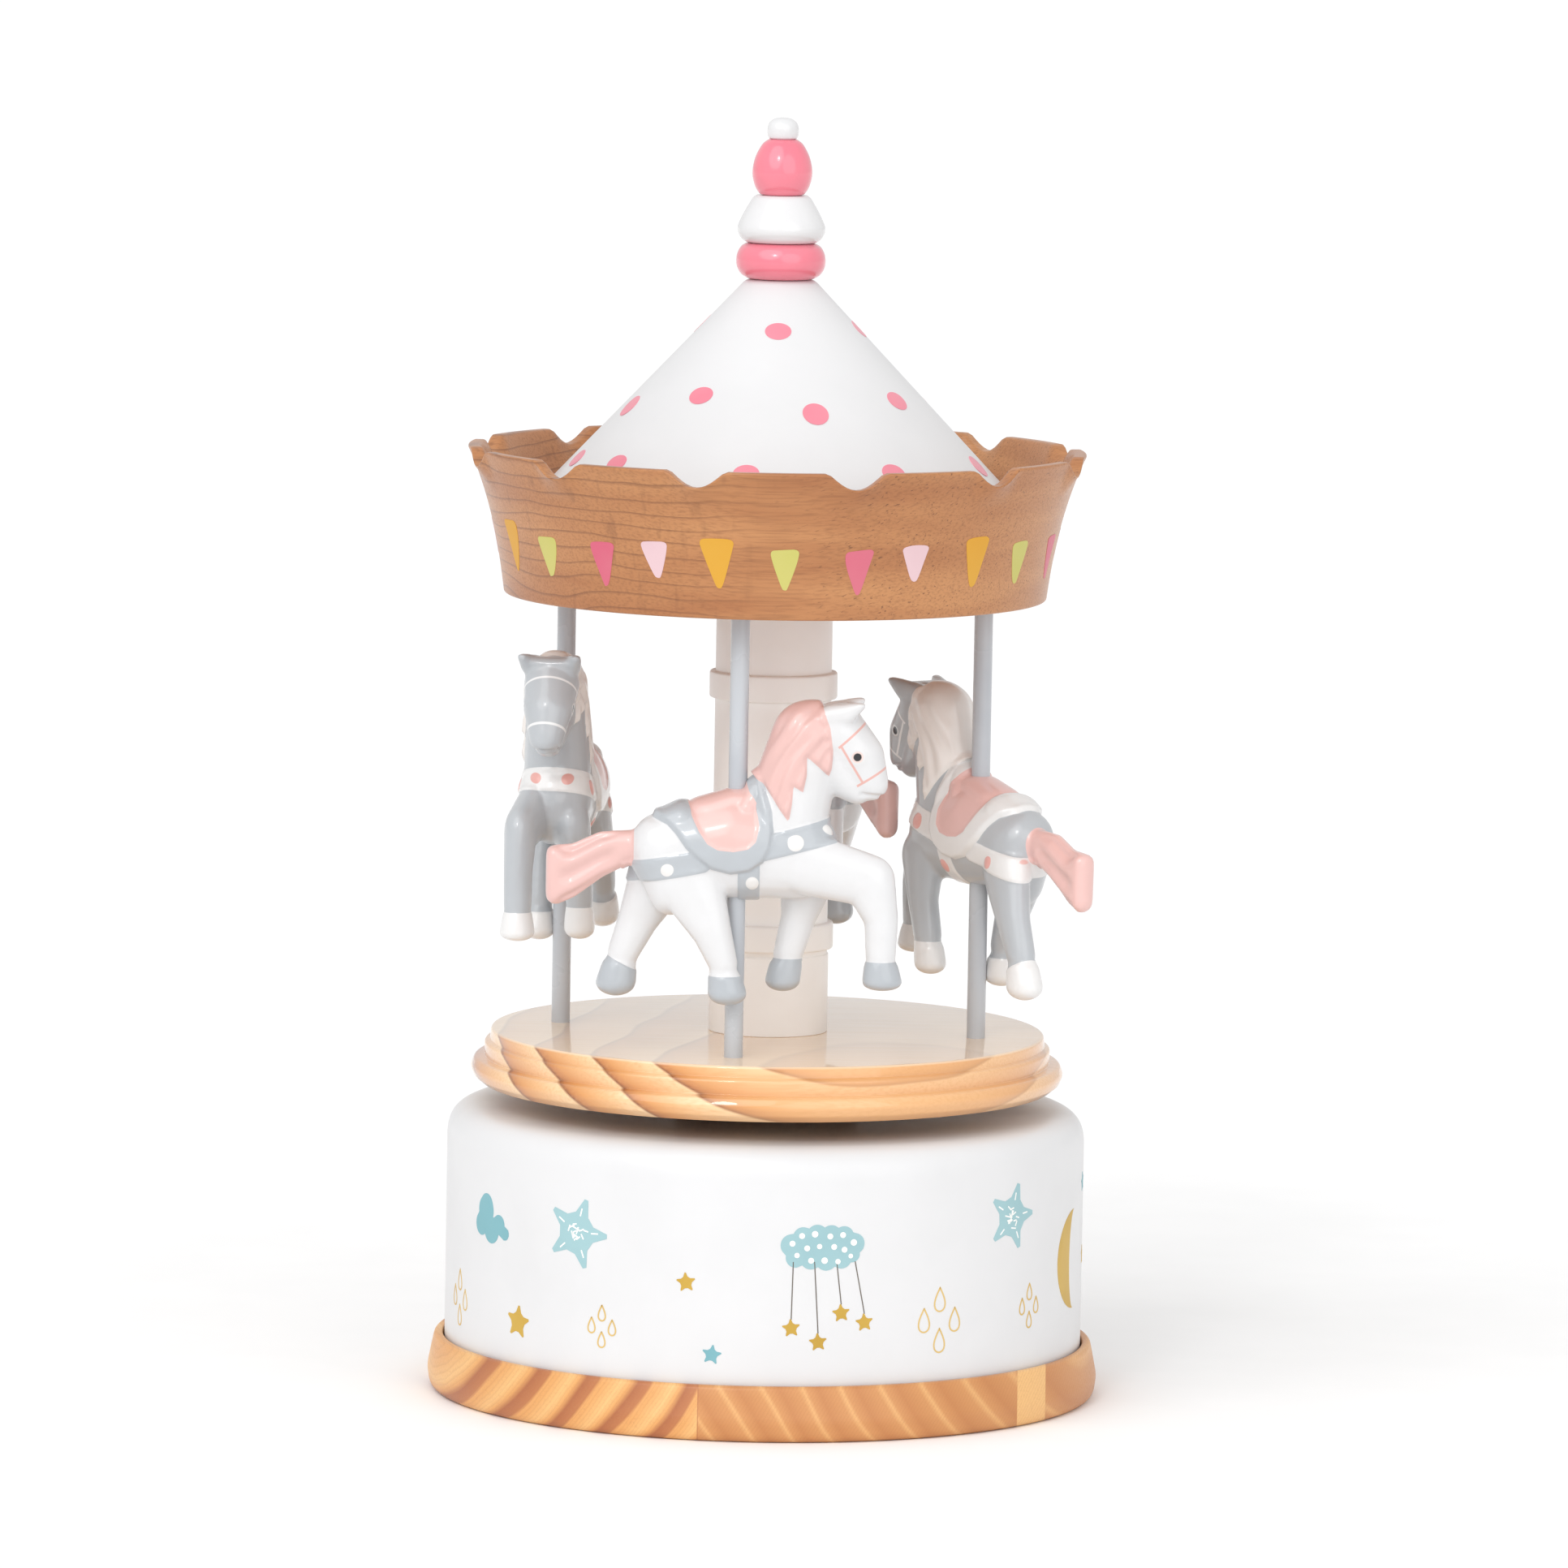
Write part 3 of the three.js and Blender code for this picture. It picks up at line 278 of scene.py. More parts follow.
def deckPineFinish():
    # varnished pine: wide growth rings round a distant heart, each ending in a thin dark line, under clear
    # gloss
    look = deckLook
    material, add, shader = newMaterial("glossVarnishedPine",
        {"IOR": 1.5, "Coat Weight": 1.0, "Coat Roughness": 0.04})
    where = coordinates(add)
    apart = add("SeparateXYZ", {"Vector": where}).outputs
    wavy = add("Math", (add("TexNoise", {"Vector": where, "Scale": 26, "Detail": 0}), 9 * mm),
        operation="MULTIPLY")
    x = add("Math", (add("Math", (apart[0], look["heart"][0] * mm), operation="SUBTRACT"), wavy),
        operation="ADD")
    z = add("Math", (apart[2], look["heart"][1] * mm), operation="SUBTRACT")
    y = add("Math", (apart[1], 0.12), operation="MULTIPLY")
    distance = add("Math", (add("Math", (add("Math", (x, x), operation="MULTIPLY"),
        add("Math", (z, z), operation="MULTIPLY")), operation="ADD"),), operation="SQRT")
    ring = ringsOf(add, add("Math", (distance, y), operation="ADD"), look["spacing"], 0.8, 24)
    colour = withStops(add("ValToRGB", {"Fac": ring}), [(0.0, look["pale"]), (0.4, look["honey"]),
        (0.72, "#D99655"), (0.88, look["amber"]), (0.95, look["dark"]), (1.0, look["pale"])])
    leftward = add("MapRange", (apart[0], 12 * mm, -14 * mm, 0.35, 1.0))
    colour = add("Mix", {0: leftward, 6: look["honey"], 7: colour}, data_type="RGBA")
    streak = fibresOf(add, (0, 0, 0), 14, 0.4, 5)
    colour = add("Mix", {0: add("MapRange", (streak, 0.42, 0.75, 0.0, 0.4)), 6: colour, 7: "#D79B5C"},
        data_type="RGBA")
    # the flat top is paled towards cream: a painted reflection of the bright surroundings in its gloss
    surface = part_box("deck")[1][2]
    paintedTopReflection = add("MapRange", (apart[2], surface - 0.4 * mm, surface - 0.1 * mm, 0.0, 0.6))
    colour = add("Mix", {0: paintedTopReflection, 6: colour, 7: look["reflectedPale"]}, data_type="RGBA")
    connect(shader, {"Base Color": colour,
                     "Roughness": add("MapRange", (streak, 0.3, 0.7, 0.32, 0.45)),
                     "Normal": add("Bump", {"Height": streak, "Distance": 0.015 * mm, "Strength": 0.25})})
    return material


beechLook = {"base": "#A76A3C", "light": "#C08552", "dark": "#6F4020", "pore": "#552C12", "lineSpacing": 2.5}


def beechFinish(name):
    # oiled beech: thin dark year lines and upright rays on the left, short flecks in the middle and
    # open pores towards the right, where the surface cuts across the grain
    look = beechLook
    material, add, shader = newMaterial(name, {"IOR": 1.5, "Coat Weight": 0.35, "Coat Roughness": 0.16})
    where = coordinates(add)
    apart = add("SeparateXYZ", {"Vector": where}).outputs
    leftward = add("MapRange", (apart[0], 4 * mm, -18 * mm))
    rightward = add("MapRange", (apart[0], -4 * mm, 16 * mm))
    broad = add("TexNoise", {"Vector": coordinates(add, scale=(18, 18, 120)), "Scale": 1, "Detail": 3,
        "Distortion": 0.4})
    tone = add("Mix", {0: add("MapRange", (broad, 0.35, 0.68)), 6: look["base"], 7: look["light"]},
        data_type="RGBA")
    bend = add("Math", (add("TexNoise", {"Vector": coordinates(add, scale=(22, 22, 60)), "Scale": 1,
        "Detail": 2}), 7 * mm), operation="MULTIPLY")
    year = ringsOf(add, add("Math", (apart[2], bend), operation="ADD"), look["lineSpacing"], 0.5, 90)
    lines = add("Math", (add("MapRange", (year, 0.82, 0.98)), leftward), operation="MULTIPLY")
    tone = add("Mix", {0: add("Math", (lines, 0.62), operation="MULTIPLY"), 6: tone, 7: look["dark"]},
        data_type="RGBA")
    rays = add("TexNoise", {"Vector": coordinates(add, scale=(520, 520, 30)), "Scale": 1, "Detail": 2})
    tone = add("Mix", {0: add("Math", (add("MapRange", (rays, 0.6, 0.72, 0.0, 0.3)), leftward),
        operation="MULTIPLY"), 6: tone, 7: look["dark"]}, data_type="RGBA")
    grain = fibresOf(add, (0, 0, 0), 9, 0.35, 5)
    tone = add("Mix", {0: add("MapRange", (grain, 0.45, 0.75, 0.0, 0.4)), 6: tone, 7: look["dark"]},
        data_type="RGBA")
    pores = fibresOf(add, (0, 14, 0), 1.5, 0.3, 2)
    openPore = add("Math", (add("MapRange", (pores, 0.64, 0.7, 0.0, 0.7)), rightward), operation="MULTIPLY")
    tone = add("Mix", {0: openPore, 6: tone, 7: look["pore"]}, data_type="RGBA")
    pitted = add("Math", (grain, add("Math", (openPore, 0.8), operation="MULTIPLY")), operation="SUBTRACT")
    connect(shader, {"Base Color": tone,
                     "Roughness": add("MapRange", (grain, 0.3, 0.7, 0.4, 0.52)),
                     "Normal": add("Bump", {"Height": pitted, "Distance": 0.03 * mm, "Strength": 0.4})})
    return material


metalTypes = {
    # colour, tarnish, metallic, roughness, length and width of the polishing marks in millimetres
    "rolledBrass": ("#D8B45E", "#B58F3F", 1.0, 0.28, 6.0, 0.10),
    "machinedSteel": ("#C9CBCE", "#A6A9AE", 1.0, 0.30, 5.0, 0.08),
    "bluedSpringSteel": ("#8F98A8", "#6C7484", 1.0, 0.25, 8.0, 0.08),
    "zincPlate": ("#BFC3C6", "#A3A8AB", 1.0, 0.45, 0.6, 0.50),
    "mouldedBlackPlastic": ("#1C1C1E", "#26262A", 0.0, 0.45, 0.5, 0.50),
    "hardFibreboard": ("#8C6A48", "#74563A", 0.0, 0.75, 1.6, 0.12),
}


def hardware(name):  # the screws, plates and wheels: fine marks over an uneven tone
    colour, tarnish, metallic, roughness, length, width = metalTypes[name]
    material, add, shader = newMaterial(name, {"Metallic": metallic, "IOR": 1.5})
    marks = fibresOf(add, (0, 0, 20), length, width)
    blotch = add("TexNoise", {"Vector": coordinates(add), "Scale": 120, "Detail": 4})
    tone = add("Mix", {0: add("MapRange", (blotch, 0.35, 0.7)), 6: colour, 7: tarnish}, data_type="RGBA")
    worn = add("Mix", {0: add("MapRange", (marks, 0.4, 0.7, 0.0, 0.3)), 6: tone, 7: tarnish}, data_type="RGBA")
    sheen = add("MapRange", (marks, 0.3, 0.7, roughness * 0.8, roughness * 1.3))
    connect(shader, {"Base Color": worn, "Roughness": sheen,
                     "Normal": add("Bump", {"Height": marks, "Distance": 0.01 * mm, "Strength": 0.3})})
    return material


satinWhite = lacquer("satinWhiteLacquer")
glossWhite = lacquer("glossWhiteLacquer")
# a brighter, warmer copy of the white: painted light for the column in the crown's shade
columnPaintedLightWhite = lacquer("columnPaintedLightLacquer")
glossPink = lacquer("glossPinkLacquer")
poleGrey = lacquer("paleGreyPolePaint")
ringPine = ringPineFinish()
deckPine = deckPineFinish()
crownBeech = beechFinish("oiledBeech")
hardwareOf = {name: hardware(name) for name in metalTypes}

# the record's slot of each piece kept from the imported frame, and its finish
keptFinish = {
    "brass": "rolledBrass", "steel": "machinedSteel", "spring_steel": "bluedSpringSteel", "zinc": "zincPlate",
    "black_plastic": "mouldedBlackPlastic", "fibreboard": "hardFibreboard",
}
print("finishes made")

# ---- camera, light and floor

studio = {"distance": 1950, "lens": 260, "sensorWidth": 36, "farthest": 100, "elevation": 6.35, "roll": 1.0,
    "aim": (2.1, 0, 105.3), "floorSize": 40.0, "floorColour": "#FBFBFB", "floorFleck": "#F9F9F9",
    "worldColour": "#FFFFFF", "worldStrength": 0.8, "suns": [("softLeft", -32, 40, 1.0, 55),
    ("softRight", 28, 20, 0.55, 50), ("sparkle", -18, 36, 0.28, 9)]}


def makeStudio():
    up = math.radians(studio["elevation"])
    aim = Vector(studio["aim"]) * mm
    away = Vector((0, -math.cos(up), math.sin(up))) * studio["distance"] * mm
    lens = bpy.data.cameras.new("camera")
    lens.lens = studio["lens"]
    lens.sensor_width = studio["sensorWidth"]
    lens.clip_end = studio["farthest"]
    camera = bpy.data.objects.new("camera", lens)
    bpy.context.scene.collection.objects.link(camera)
    camera.matrix_world = (Matrix.Translation(aim + away) @ away.to_track_quat("Z", "Y").to_matrix().to_4x4()
                           @ Matrix.Rotation(math.radians(studio["roll"]), 4, "Z"))
    bpy.context.scene.camera = camera

    world = bpy.data.worlds.new("studio")
    bpy.context.scene.world = world
    world.use_nodes = True
    background = world.node_tree.nodes["Background"]
    background.inputs["Color"].default_value = linear(studio["worldColour"])
    background.inputs["Strength"].default_value = studio["worldStrength"]

    # name, direction as degrees round from the front and above the floor, strength, softness in degrees
    for name, turn, rise, strength, softness in studio["suns"]:
        sun = bpy.data.lights.new(name, "SUN")
        sun.energy = strength
        sun.angle = math.radians(softness)
        lamp = bpy.data.objects.new(name, sun)
        turn, rise = math.radians(turn), math.radians(rise)
        towards = Vector((math.sin(turn) * math.cos(rise), -math.cos(turn) * math.cos(rise), math.sin(rise)))
        lamp.rotation_euler = towards.to_track_quat("Z", "Y").to_euler()
        bpy.context.scene.collection.objects.link(lamp)

    bm = bmesh.new()
    bmesh.ops.create_grid(bm, x_segments=4, y_segments=4, size=studio["floorSize"] / 2)
    mesh = bpy.data.meshes.new("floor")
    bm.to_mesh(mesh)
    bm.free()
    material, add, shader = newMaterial("palePaperFloor", {"Roughness": 0.8, "IOR": 1.45})
    speck = add("TexNoise", {"Vector": coordinates(add), "Scale": 60, "Detail": 3})
    tone = add("Mix", {0: add("MapRange", (speck, 0.3, 0.7)), 6: studio["floorColour"],
        7: studio["floorFleck"]}, data_type="RGBA")
    connect(shader, {"Base Color": tone})
    mesh.materials.append(material)
    floor = bpy.data.objects.new("floor", mesh)
    bpy.context.scene.collection.objects.link(floor)
    bpy.context.scene.view_settings.view_transform = "Standard"


makeStudio()
print("studio made")

# ---- turned pieces

foot = {}
top = {}
for nodeName in ("base_ring", "drum_shell", "turntable_hub", "deck", "column", "crown", "roof_cone",
        "finial_disc", "finial_bell", "finial_egg", "finial_ball"):
    lowest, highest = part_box(nodeName)
    foot[nodeName] = lowest[2] / mm
    top[nodeName] = highest[2] / mm

ringShape = {"topRadius": 56.7, "bulge": 1.2, "lip": 0.9, "footRound": 2.2, "coverRadius": 48.6,
    "boreRadius": 42.0, "ledge": 3.0, "drumRadius": 55.3}


def makeRing():
    s = ringShape
    low, high = foot["base_ring"], top["base_ring"]
    belly = s["topRadius"] + s["bulge"]
    ledge = low + 2 * s["ledge"]
    outline = roundedOutline([
        (s["coverRadius"], low, 0), (belly - 0.5, low, s["footRound"]), (belly, low + 3.6, 5),
        (s["topRadius"] + 0.35, high - 1.6, 4), (s["topRadius"], high, s["lip"]), (s["drumRadius"],
         high, 0.4),
        (s["drumRadius"], ledge, 0), (s["boreRadius"], ledge, 0.3), (s["boreRadius"], low + s["ledge"], 0),
        (s["coverRadius"], low + s["ledge"], 0)], 8)
    addPiece("baseRingWood", turned(outline, 192), ringPine, "base", ["base_ring"])


drumShape = {"radius": 55.0, "edge": 5.6, "wall": 5.0, "topThickness": 6.0, "boreRadius": 4.3}


def makeDrum():
    s = drumShape
    low, high = foot["drum_shell"], top["drum_shell"]
    inner = s["radius"] - s["wall"]
    outline = roundedOutline([(inner, low, 0.3), (s["radius"], low, 0.3), (s["radius"], high, s["edge"]),
        (s["boreRadius"], high, 0.3), (s["boreRadius"], high - s["topThickness"], 0),
        (inner, high - s["topThickness"], 1.5)], 14)
    addPiece("drumShellPainted", turned(outline, 192), satinWhite, "base", ["drum_shell"])


deckShape = {"radius": 51.2, "topRadius": 47.2}


def makeDeck():
    r, t = deckShape["radius"], deckShape["topRadius"]
    low, high = foot["deck"], top["deck"]
    outline = roundedOutline([
        (0, low, 0), (r - 2, low, 0.5), (r - 0.6, low + 1.1, 1.2), (r, low + 2.6, 1.4),
         (r - 0.7, low + 4.2, 0.9),
        (r - 2.5, low + 4.4, 0.15), (r - 2.35, low + 6.9, 1.0), (r - 3.35, low + 7.3, 0.15),
        (t + 0.5, high, 0.6), (0, high, 0)], 7)
    addPiece("deckWood", turned(outline, 192), deckPine, "carousel", ["deck"])


columnShape = {"radius": 10.0, "bead": 1.0, "beadHeight": 4.8, "beads": (16.8, 60.0), "step": 0.25,
    "tenon": 4.6, "tenonRadius": 6.0}


def makeColumn():
    s = columnShape
    low = foot["column"] + s["tenon"]
    high = top["column"] - s["tenon"]
    r, wide = s["radius"], s["radius"] + s["step"]
    corners = [(0, foot["column"], 0), (s["tenonRadius"], foot["column"], 0.3), (s["tenonRadius"], low, 0),
        (wide, low, 0.2)]
    for middle in s["beads"]:
        z, half = low + middle, s["beadHeight"] / 2
        corners += [(wide, z - half - 0.9, 0.12), (r, z - half - 0.7, 0.1), (r, z - half + 0.1, 0.2),
            (r + s["bead"], z - half + 0.1, 1.9), (r + s["bead"], z + half - 0.1, 1.9),
            (r, z + half - 0.1, 0.2)]
        wide = r
    corners += [(r, high, 0.2), (s["tenonRadius"], high, 0), (s["tenonRadius"], top["column"], 0.3),
        (0, top["column"], 0)]
    outline = roundedOutline(corners, 6)
    addPiece("columnPainted", turned(outline, 96), columnPaintedLightWhite, "carousel", ["column"])


crownShape = {"radius": 46.6, "flare": 6.6, "straight": 0.5, "curve": 2.5, "wall": 2.4, "recess": 10.5,
    "notches": 12, "notchWidth": 9.0, "notchEase": 0.7, "notchPower": 1.25, "notchDepth": 2.8,
    "notchReach": 6.5}


def crownRadiusAt(z):  # the crown's outside at a height in millimetres
    share = min(max((z - foot["crown"]) / (top["crown"] - foot["crown"]), 0), 1)
    straight = crownShape["straight"]
    return crownShape["radius"] + crownShape["flare"] * (straight * share
        + (1 - straight) * share ** crownShape["curve"])


def makeCrown():
    s = crownShape
    low, high = foot["crown"], top["crown"]
    rim = crownRadiusAt(high)
    outside = [(crownRadiusAt(low + (high - low - 1.4) * t), low + (high - low - 1.4) * t)
        for t in np.linspace(0.04, 1, 30)]
    inside = [(crownRadiusAt(high - s["recess"] * t) - s["wall"], high - s["recess"] * t)
        for t in np.linspace(0.12, 1, 12)]
    corners = [(0, low, 0), (s["radius"], low, 0.6)] + [(r, z, 0) for r, z in outside]
    corners += [(rim + 0.1, high, 1.1), (rim - s["wall"] + 0.2, high, 0.9)] + [(r, z, 0) for r, z in inside]
    corners += [(0, high - s["recess"], 0)]
    bm = turned(roundedOutline(corners, 6), 360)
    for vert in bm.verts:  # the scoops press the rim down in soft hollows
        radius = math.hypot(vert.co.x, vert.co.y) / mm
        z = vert.co.z / mm
        if radius < s["radius"] - s["wall"] or z < high - s["notchReach"]:
            continue
        angle = math.degrees(math.atan2(vert.co.y, vert.co.x))
        step = 360 / s["notches"]
        off = abs((angle % step) - step / 2) * math.pi / 180 * rim
        scoop = s["notchDepth"] * max(0.0, 1 - (off / (s["notchWidth"] / 2
            + s["notchEase"])) ** 2) ** s["notchPower"]
        vert.co.z = (high - s["notchReach"] + (z - high
            + s["notchReach"]) * (1 - scoop / s["notchReach"])) * mm
    bmesh.ops.recalc_face_normals(bm, faces=bm.faces)
    addPiece("crownWood", bm, crownBeech, "carousel", ["crown"])


roofShape = {"footRadius": 43.27, "topRadius": 5.65, "shoulder": 2.6}


def roofRadiusAt(z):
    share = (z - foot["roof_cone"]) / (top["roof_cone"] - foot["roof_cone"])
    return roofShape["footRadius"] + (roofShape["topRadius"] - roofShape["footRadius"]) * share


def makeRoof():
    s = roofShape
    low, high = foot["roof_cone"], top["roof_cone"]
    outline = roundedOutline([(0, low, 0), (s["footRadius"], low, 0.4),
        (s["topRadius"] + 0.1, high, s["shoulder"]), (0, high, 0)], 12)
    addPiece("roofPainted", turned(outline, 192), satinWhite, "carousel", ["roof_cone"])


# each finial bead's side as radius and share of its height
finialShapes = {
    "finial_disc": ("finialDiscBead", "pink_gloss", [(4.9, 0), (5.8, 0.02), (6.8, 0.12), (7.5, 0.3),
     (7.7, 0.5), (7.5, 0.7),
                                                     (6.9, 0.88), (6.0, 0.98), (5.4, 1)]),
    "finial_bell": ("finialBellBead", "white_gloss", [(5.2, 0), (6.2, 0.02), (7.1, 0.12), (7.55, 0.27),
     (7.35, 0.4), (6.6, 0.6),
                                                      (5.7, 0.8), (5.0, 0.94), (4.4, 1)]),
    "finial_egg": ("finialEggBead", "pink_gloss", [(3.3, 0), (3.9, 0.03), (4.6, 0.14), (5.1, 0.32),
     (5.12, 0.48), (4.6, 0.7),
                                                   (3.5, 0.91), (2.4, 1)]),
    "finial_ball": ("finialBallBead", "white_gloss", [(2.1, 0), (2.5, 0.08), (2.7, 0.3), (2.65, 0.55),
     (2.3, 0.78), (1.5, 0.94),
                                                      (0.6, 0.995), (0, 1)]),
}


def makeFinial():
    for node, (name, finish, shape) in finialShapes.items():
        height = top[node] - foot[node]
        outline = [Vector((0, foot[node])) * mm] + curvedOutline([(r, foot[node] + share * height)
            for r, share in shape])
        if shape[-1][0]:
            outline.append(Vector((0, top[node])) * mm)
        material = glossPink if finish == "pink_gloss" else glossWhite
        addPiece(name, turned(outline, 96), material, "carousel", [node])


hubShape = {"radius": 15.8, "lowerEdge": 0.5, "upperEdge": 0.1}


def makeHub():
    s = hubShape
    low, high = foot["turntable_hub"], top["turntable_hub"]
    outline = roundedOutline([(0, low, 0), (s["radius"], low, s["lowerEdge"]),
        (s["radius"], high, s["upperEdge"]), (0, high, 0)], 4)
    addPiece("turntableHubTurned", turned(outline, 96), hardwareOf["mouldedBlackPlastic"], "carousel",
             ["turntable_hub"])


poleShape = {"radius": 1.6, "edge": 0.2}
poleNames = ("front", "right", "back", "left")


def makePoles():
    for side in poleNames:
        node = "pole_" + side
        lowest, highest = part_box(node)
        low, high = lowest[2] / mm, highest[2] / mm
        r, edge = poleShape["radius"], poleShape["edge"]
        outline = roundedOutline([(0, low, 0), (r, low, edge), (r, high, edge), (0, high, 0)], 4)
        bm = turned(outline, 40)
        middle = ((lowest[0] + highest[0]) / 2, (lowest[1] + highest[1]) / 2, 0)
        bmesh.ops.translate(bm, verts=bm.verts, vec=middle)
        addPiece("polePainted_" + side, bm, poleGrey, "carousel", [node])


makeRing()
makeDrum()
makeDeck()
makeColumn()
makeCrown()
makeRoof()
makeFinial()
makeHub()
makePoles()
print("turned pieces made")

# ---- printed and painted marks: thin closed patches wrapped on the drum, roof and crown

def softened(points, rounds=2):  # every corner is cut back, once in each round
    for _ in range(rounds):
        pairs = zip(points, points[1:] + points[:1])
        points = [(a[0] + (b[0] - a[0]) * t, a[1] + (b[1] - a[1]) * t) for a, b in pairs
            for t in (0.22, 0.78)]
    return points


def starPoints(size, x=0.0, y=0.0, lean=0.0, dent=0.43):
    points = []
    for k in range(10):
        reach = size / 2 * (1 if k % 2 == 0 else dent)
        angle = math.radians(90 + lean + 36 * k)
        points.append((x + reach * math.cos(angle), y + reach * math.sin(angle)))
    return softened(points, 1)


def circlePoints(radius, x=0.0, y=0.0, stretch=1.0, count=20):
    turns = [2 * math.pi * k / count for k in range(count)]
    return [(x + radius * math.cos(t), y + radius * stretch * math.sin(t)) for t in turns]


def cloudPoints(lobes, count=72):
    # the outline round overlapping circles (x, y, radius), seen from their middle
    middle = (sum(l[0] for l in lobes) / len(lobes), sum(l[1] for l in lobes) / len(lobes))
    points = []
    for k in range(count):
        angle = 2 * math.pi * k / count
        ray = (math.cos(angle), math.sin(angle))
        reach = 0.0
        for x, y, radius in lobes:
            away = (x - middle[0], y - middle[1])
            along = away[0] * ray[0] + away[1] * ray[1]
            beside = away[0] ** 2 + away[1] ** 2 - along ** 2
            if beside < radius ** 2:
                reach = max(reach, along + math.sqrt(radius ** 2 - beside))
        points.append((middle[0] + reach * ray[0], middle[1] + reach * ray[1]))
    return points


def dropPoints(height, x=0.0, y=0.0):
    points = []
    for k in range(24):
        t = 2 * math.pi * k / 24
        taper = math.sin(t / 2) ** 1.3
        points.append((x + height * 0.36 * math.sin(t) * taper, y + height * (math.cos(t) * 0.5)))
    return points


def moonPoints(height, thickness):
    # a round back on the left and a shallower hollow on the right, meeting in two tips
    half = height / 2
    turns = [math.radians(a) for a in range(-90, 91, 6)]
    outer = [(half / 2 - half * math.cos(t), half * math.sin(t)) for t in turns]
    inner = [(half / 2 - (half - thickness) * math.cos(t), half * math.sin(t)) for t in reversed(turns[1:-1])]
    return outer + inner


def addPatch(bm, points, place=(0, 0)):
    verts = [bm.verts.new((x + place[0], y + place[1], 0)) for x, y in points]
    face = bm.faces.new(verts)
    face.normal_update()  # a hollow outline fills wrongly without its normal
    bmesh.ops.triangulate(bm, faces=[face])


def addBand(bm, points, width, closed=True, place=(0, 0)):
    # a line of that width along the points
    count = len(points)
    rails = []
    for k, point in enumerate(points):
        before = Vector(points[k - 1] if closed or k else point)
        after = Vector(points[(k + 1) % count] if closed or k < count - 1 else point)
        along = (after - before).normalized()
        aside = Vector((-along.y, along.x)) * width / 2
        rails.append([bm.verts.new((point[0] + place[0] + s * aside.x, point[1] + place[1] + s * aside.y, 0))
            for s in (-1, 1)])
    for k in range(count if closed else count - 1):
        a, b = rails[k], rails[(k + 1) % count]
        bm.faces.new((a[0], b[0], b[1], a[1]))


def wrapped(bm, turn, height, radiusAt, slant=1.0, lift=0.05, under=0.12, cell=1.0):
    # lays flat marks round a turned surface: x runs round it, y up it, both in millimetres
    low = min(v.co.x for v in bm.verts)
    high = max(v.co.x for v in bm.verts)
    for k in range(1, int((high - low) / cell) + 1):
        bmesh.ops.bisect_plane(bm, geom=bm.verts[:] + bm.edges[:] + bm.faces[:],
            plane_co=(low + k * cell, 0, 0), plane_no=(1, 0, 0), dist=1e-4)
    bottom, roof = min(v.co.y for v in bm.verts), max(v.co.y for v in bm.verts)
    for k in range(1, int((roof - bottom) / 2.5) + 1):
        bmesh.ops.bisect_plane(bm, geom=bm.verts[:] + bm.edges[:] + bm.faces[:],
            plane_co=(0, bottom + k * 2.5, 0), plane_no=(0, 1, 0), dist=1e-4)
    raised = bmesh.ops.extrude_face_region(bm, geom=bm.faces[:])["geom"]
    upper = {v for v in raised if isinstance(v, bmesh.types.BMVert)}
    for vert in bm.verts:
        z = height + vert.co.y * slant
        radius = radiusAt(z)
        angle = math.radians(turn) + vert.co.x / radius
        radius += lift if vert in upper else -under
        vert.co = Vector((radius * math.sin(angle), -radius * math.cos(angle), z)) * mm
    bmesh.ops.recalc_face_normals(bm, faces=bm.faces)


def joined(parts):
    whole = bmesh.new()
    for part in parts:
        mesh = bpy.data.meshes.new("part")
        part.to_mesh(mesh)
        part.free()
        whole.from_mesh(mesh)
        bpy.data.meshes.remove(mesh)
    return whole


def drumRadiusAt(z):  # the same at every height, as the marks are wrapped on the straight side
    return drumShape["radius"]


# each mark on the drum: its kind, turn in degrees from the front, height and size in millimetres, lean
drumMarks = [
    ("cloud", -57.8, 33.0, 11.0, 0), ("bigStar", -35.1, 33.4, 12.6, -19), ("goldStar", -49.0, 16.6, 6.6, -6),
    ("drops", -70.7, 17.8, 9.4, 0), ("drops", -29.5, 17.9, 7.0, 0), ("tinyGold", -13.6, 26.6, 3.9, 6),
    ("tinyTeal", -8.8, 14.5, 3.9, -8), ("mobile", 10.5, 33.0, 14.3, 0), ("drops", 33.0, 19.7, 10.8, 0),
    ("bigStar", 50.0, 36.0, 11.9, -16), ("drops", 55.6, 20.1, 7.4, 0), ("moon", 70.6, 25.9, 17.2, 0),
    ("tinyTeal", 84.0, 38.0, 4.0, 10), ("tinyGold", 86.0, 25.0, 3.9, 0),
]
# lobes of the two clouds and dots of the second as x, y and radius; below it, stars as x, y and their
# string's x
smallCloud = [(-1.6, 1.5, 2.5), (-3.1, -1.0, 2.0), (0.3, -1.7, 2.3), (2.6, -0.5, 1.7), (4.4, -1.8, 1.2),
    (-1.4, 2.4, 2.0)]
mobileCloud = [(-5.3, 0.4, 1.9), (-3.4, 1.8, 1.7), (-1.0, 2.1, 1.8), (1.4, 2.0, 1.8), (3.6, 1.9, 1.7),
    (5.4, 0.6, 1.8), (-4.6, -1.7, 1.7), (-2.0, -1.8, 1.9), (0.6, -2.0, 1.9), (3.2, -1.8, 1.8),
    (5.0, -1.2, 1.4), (0, 0, 3.4)]
mobileDots = [(-5.2, 0.7, .5), (-3.6, 2.0, .5), (-1.4, 2.3, .55), (1.2, 1.9, .5), (3.4, 2.1, .5),
    (5.3, 0.8, .55), (-4.4, -1.3, .45), (-2.7, -0.1, .5), (-0.6, 0.2, .45), (1.9, 0.1, .5), (3.7, -0.4, .5),
    (-2.0, -2.2, .5), (0.3, -2.2, .55), (2.6, -2.4, .45), (4.8, -1.5, .4)]
smallStars = {"goldStar": "gold", "tinyGold": "gold", "tinyTeal": "teal"}
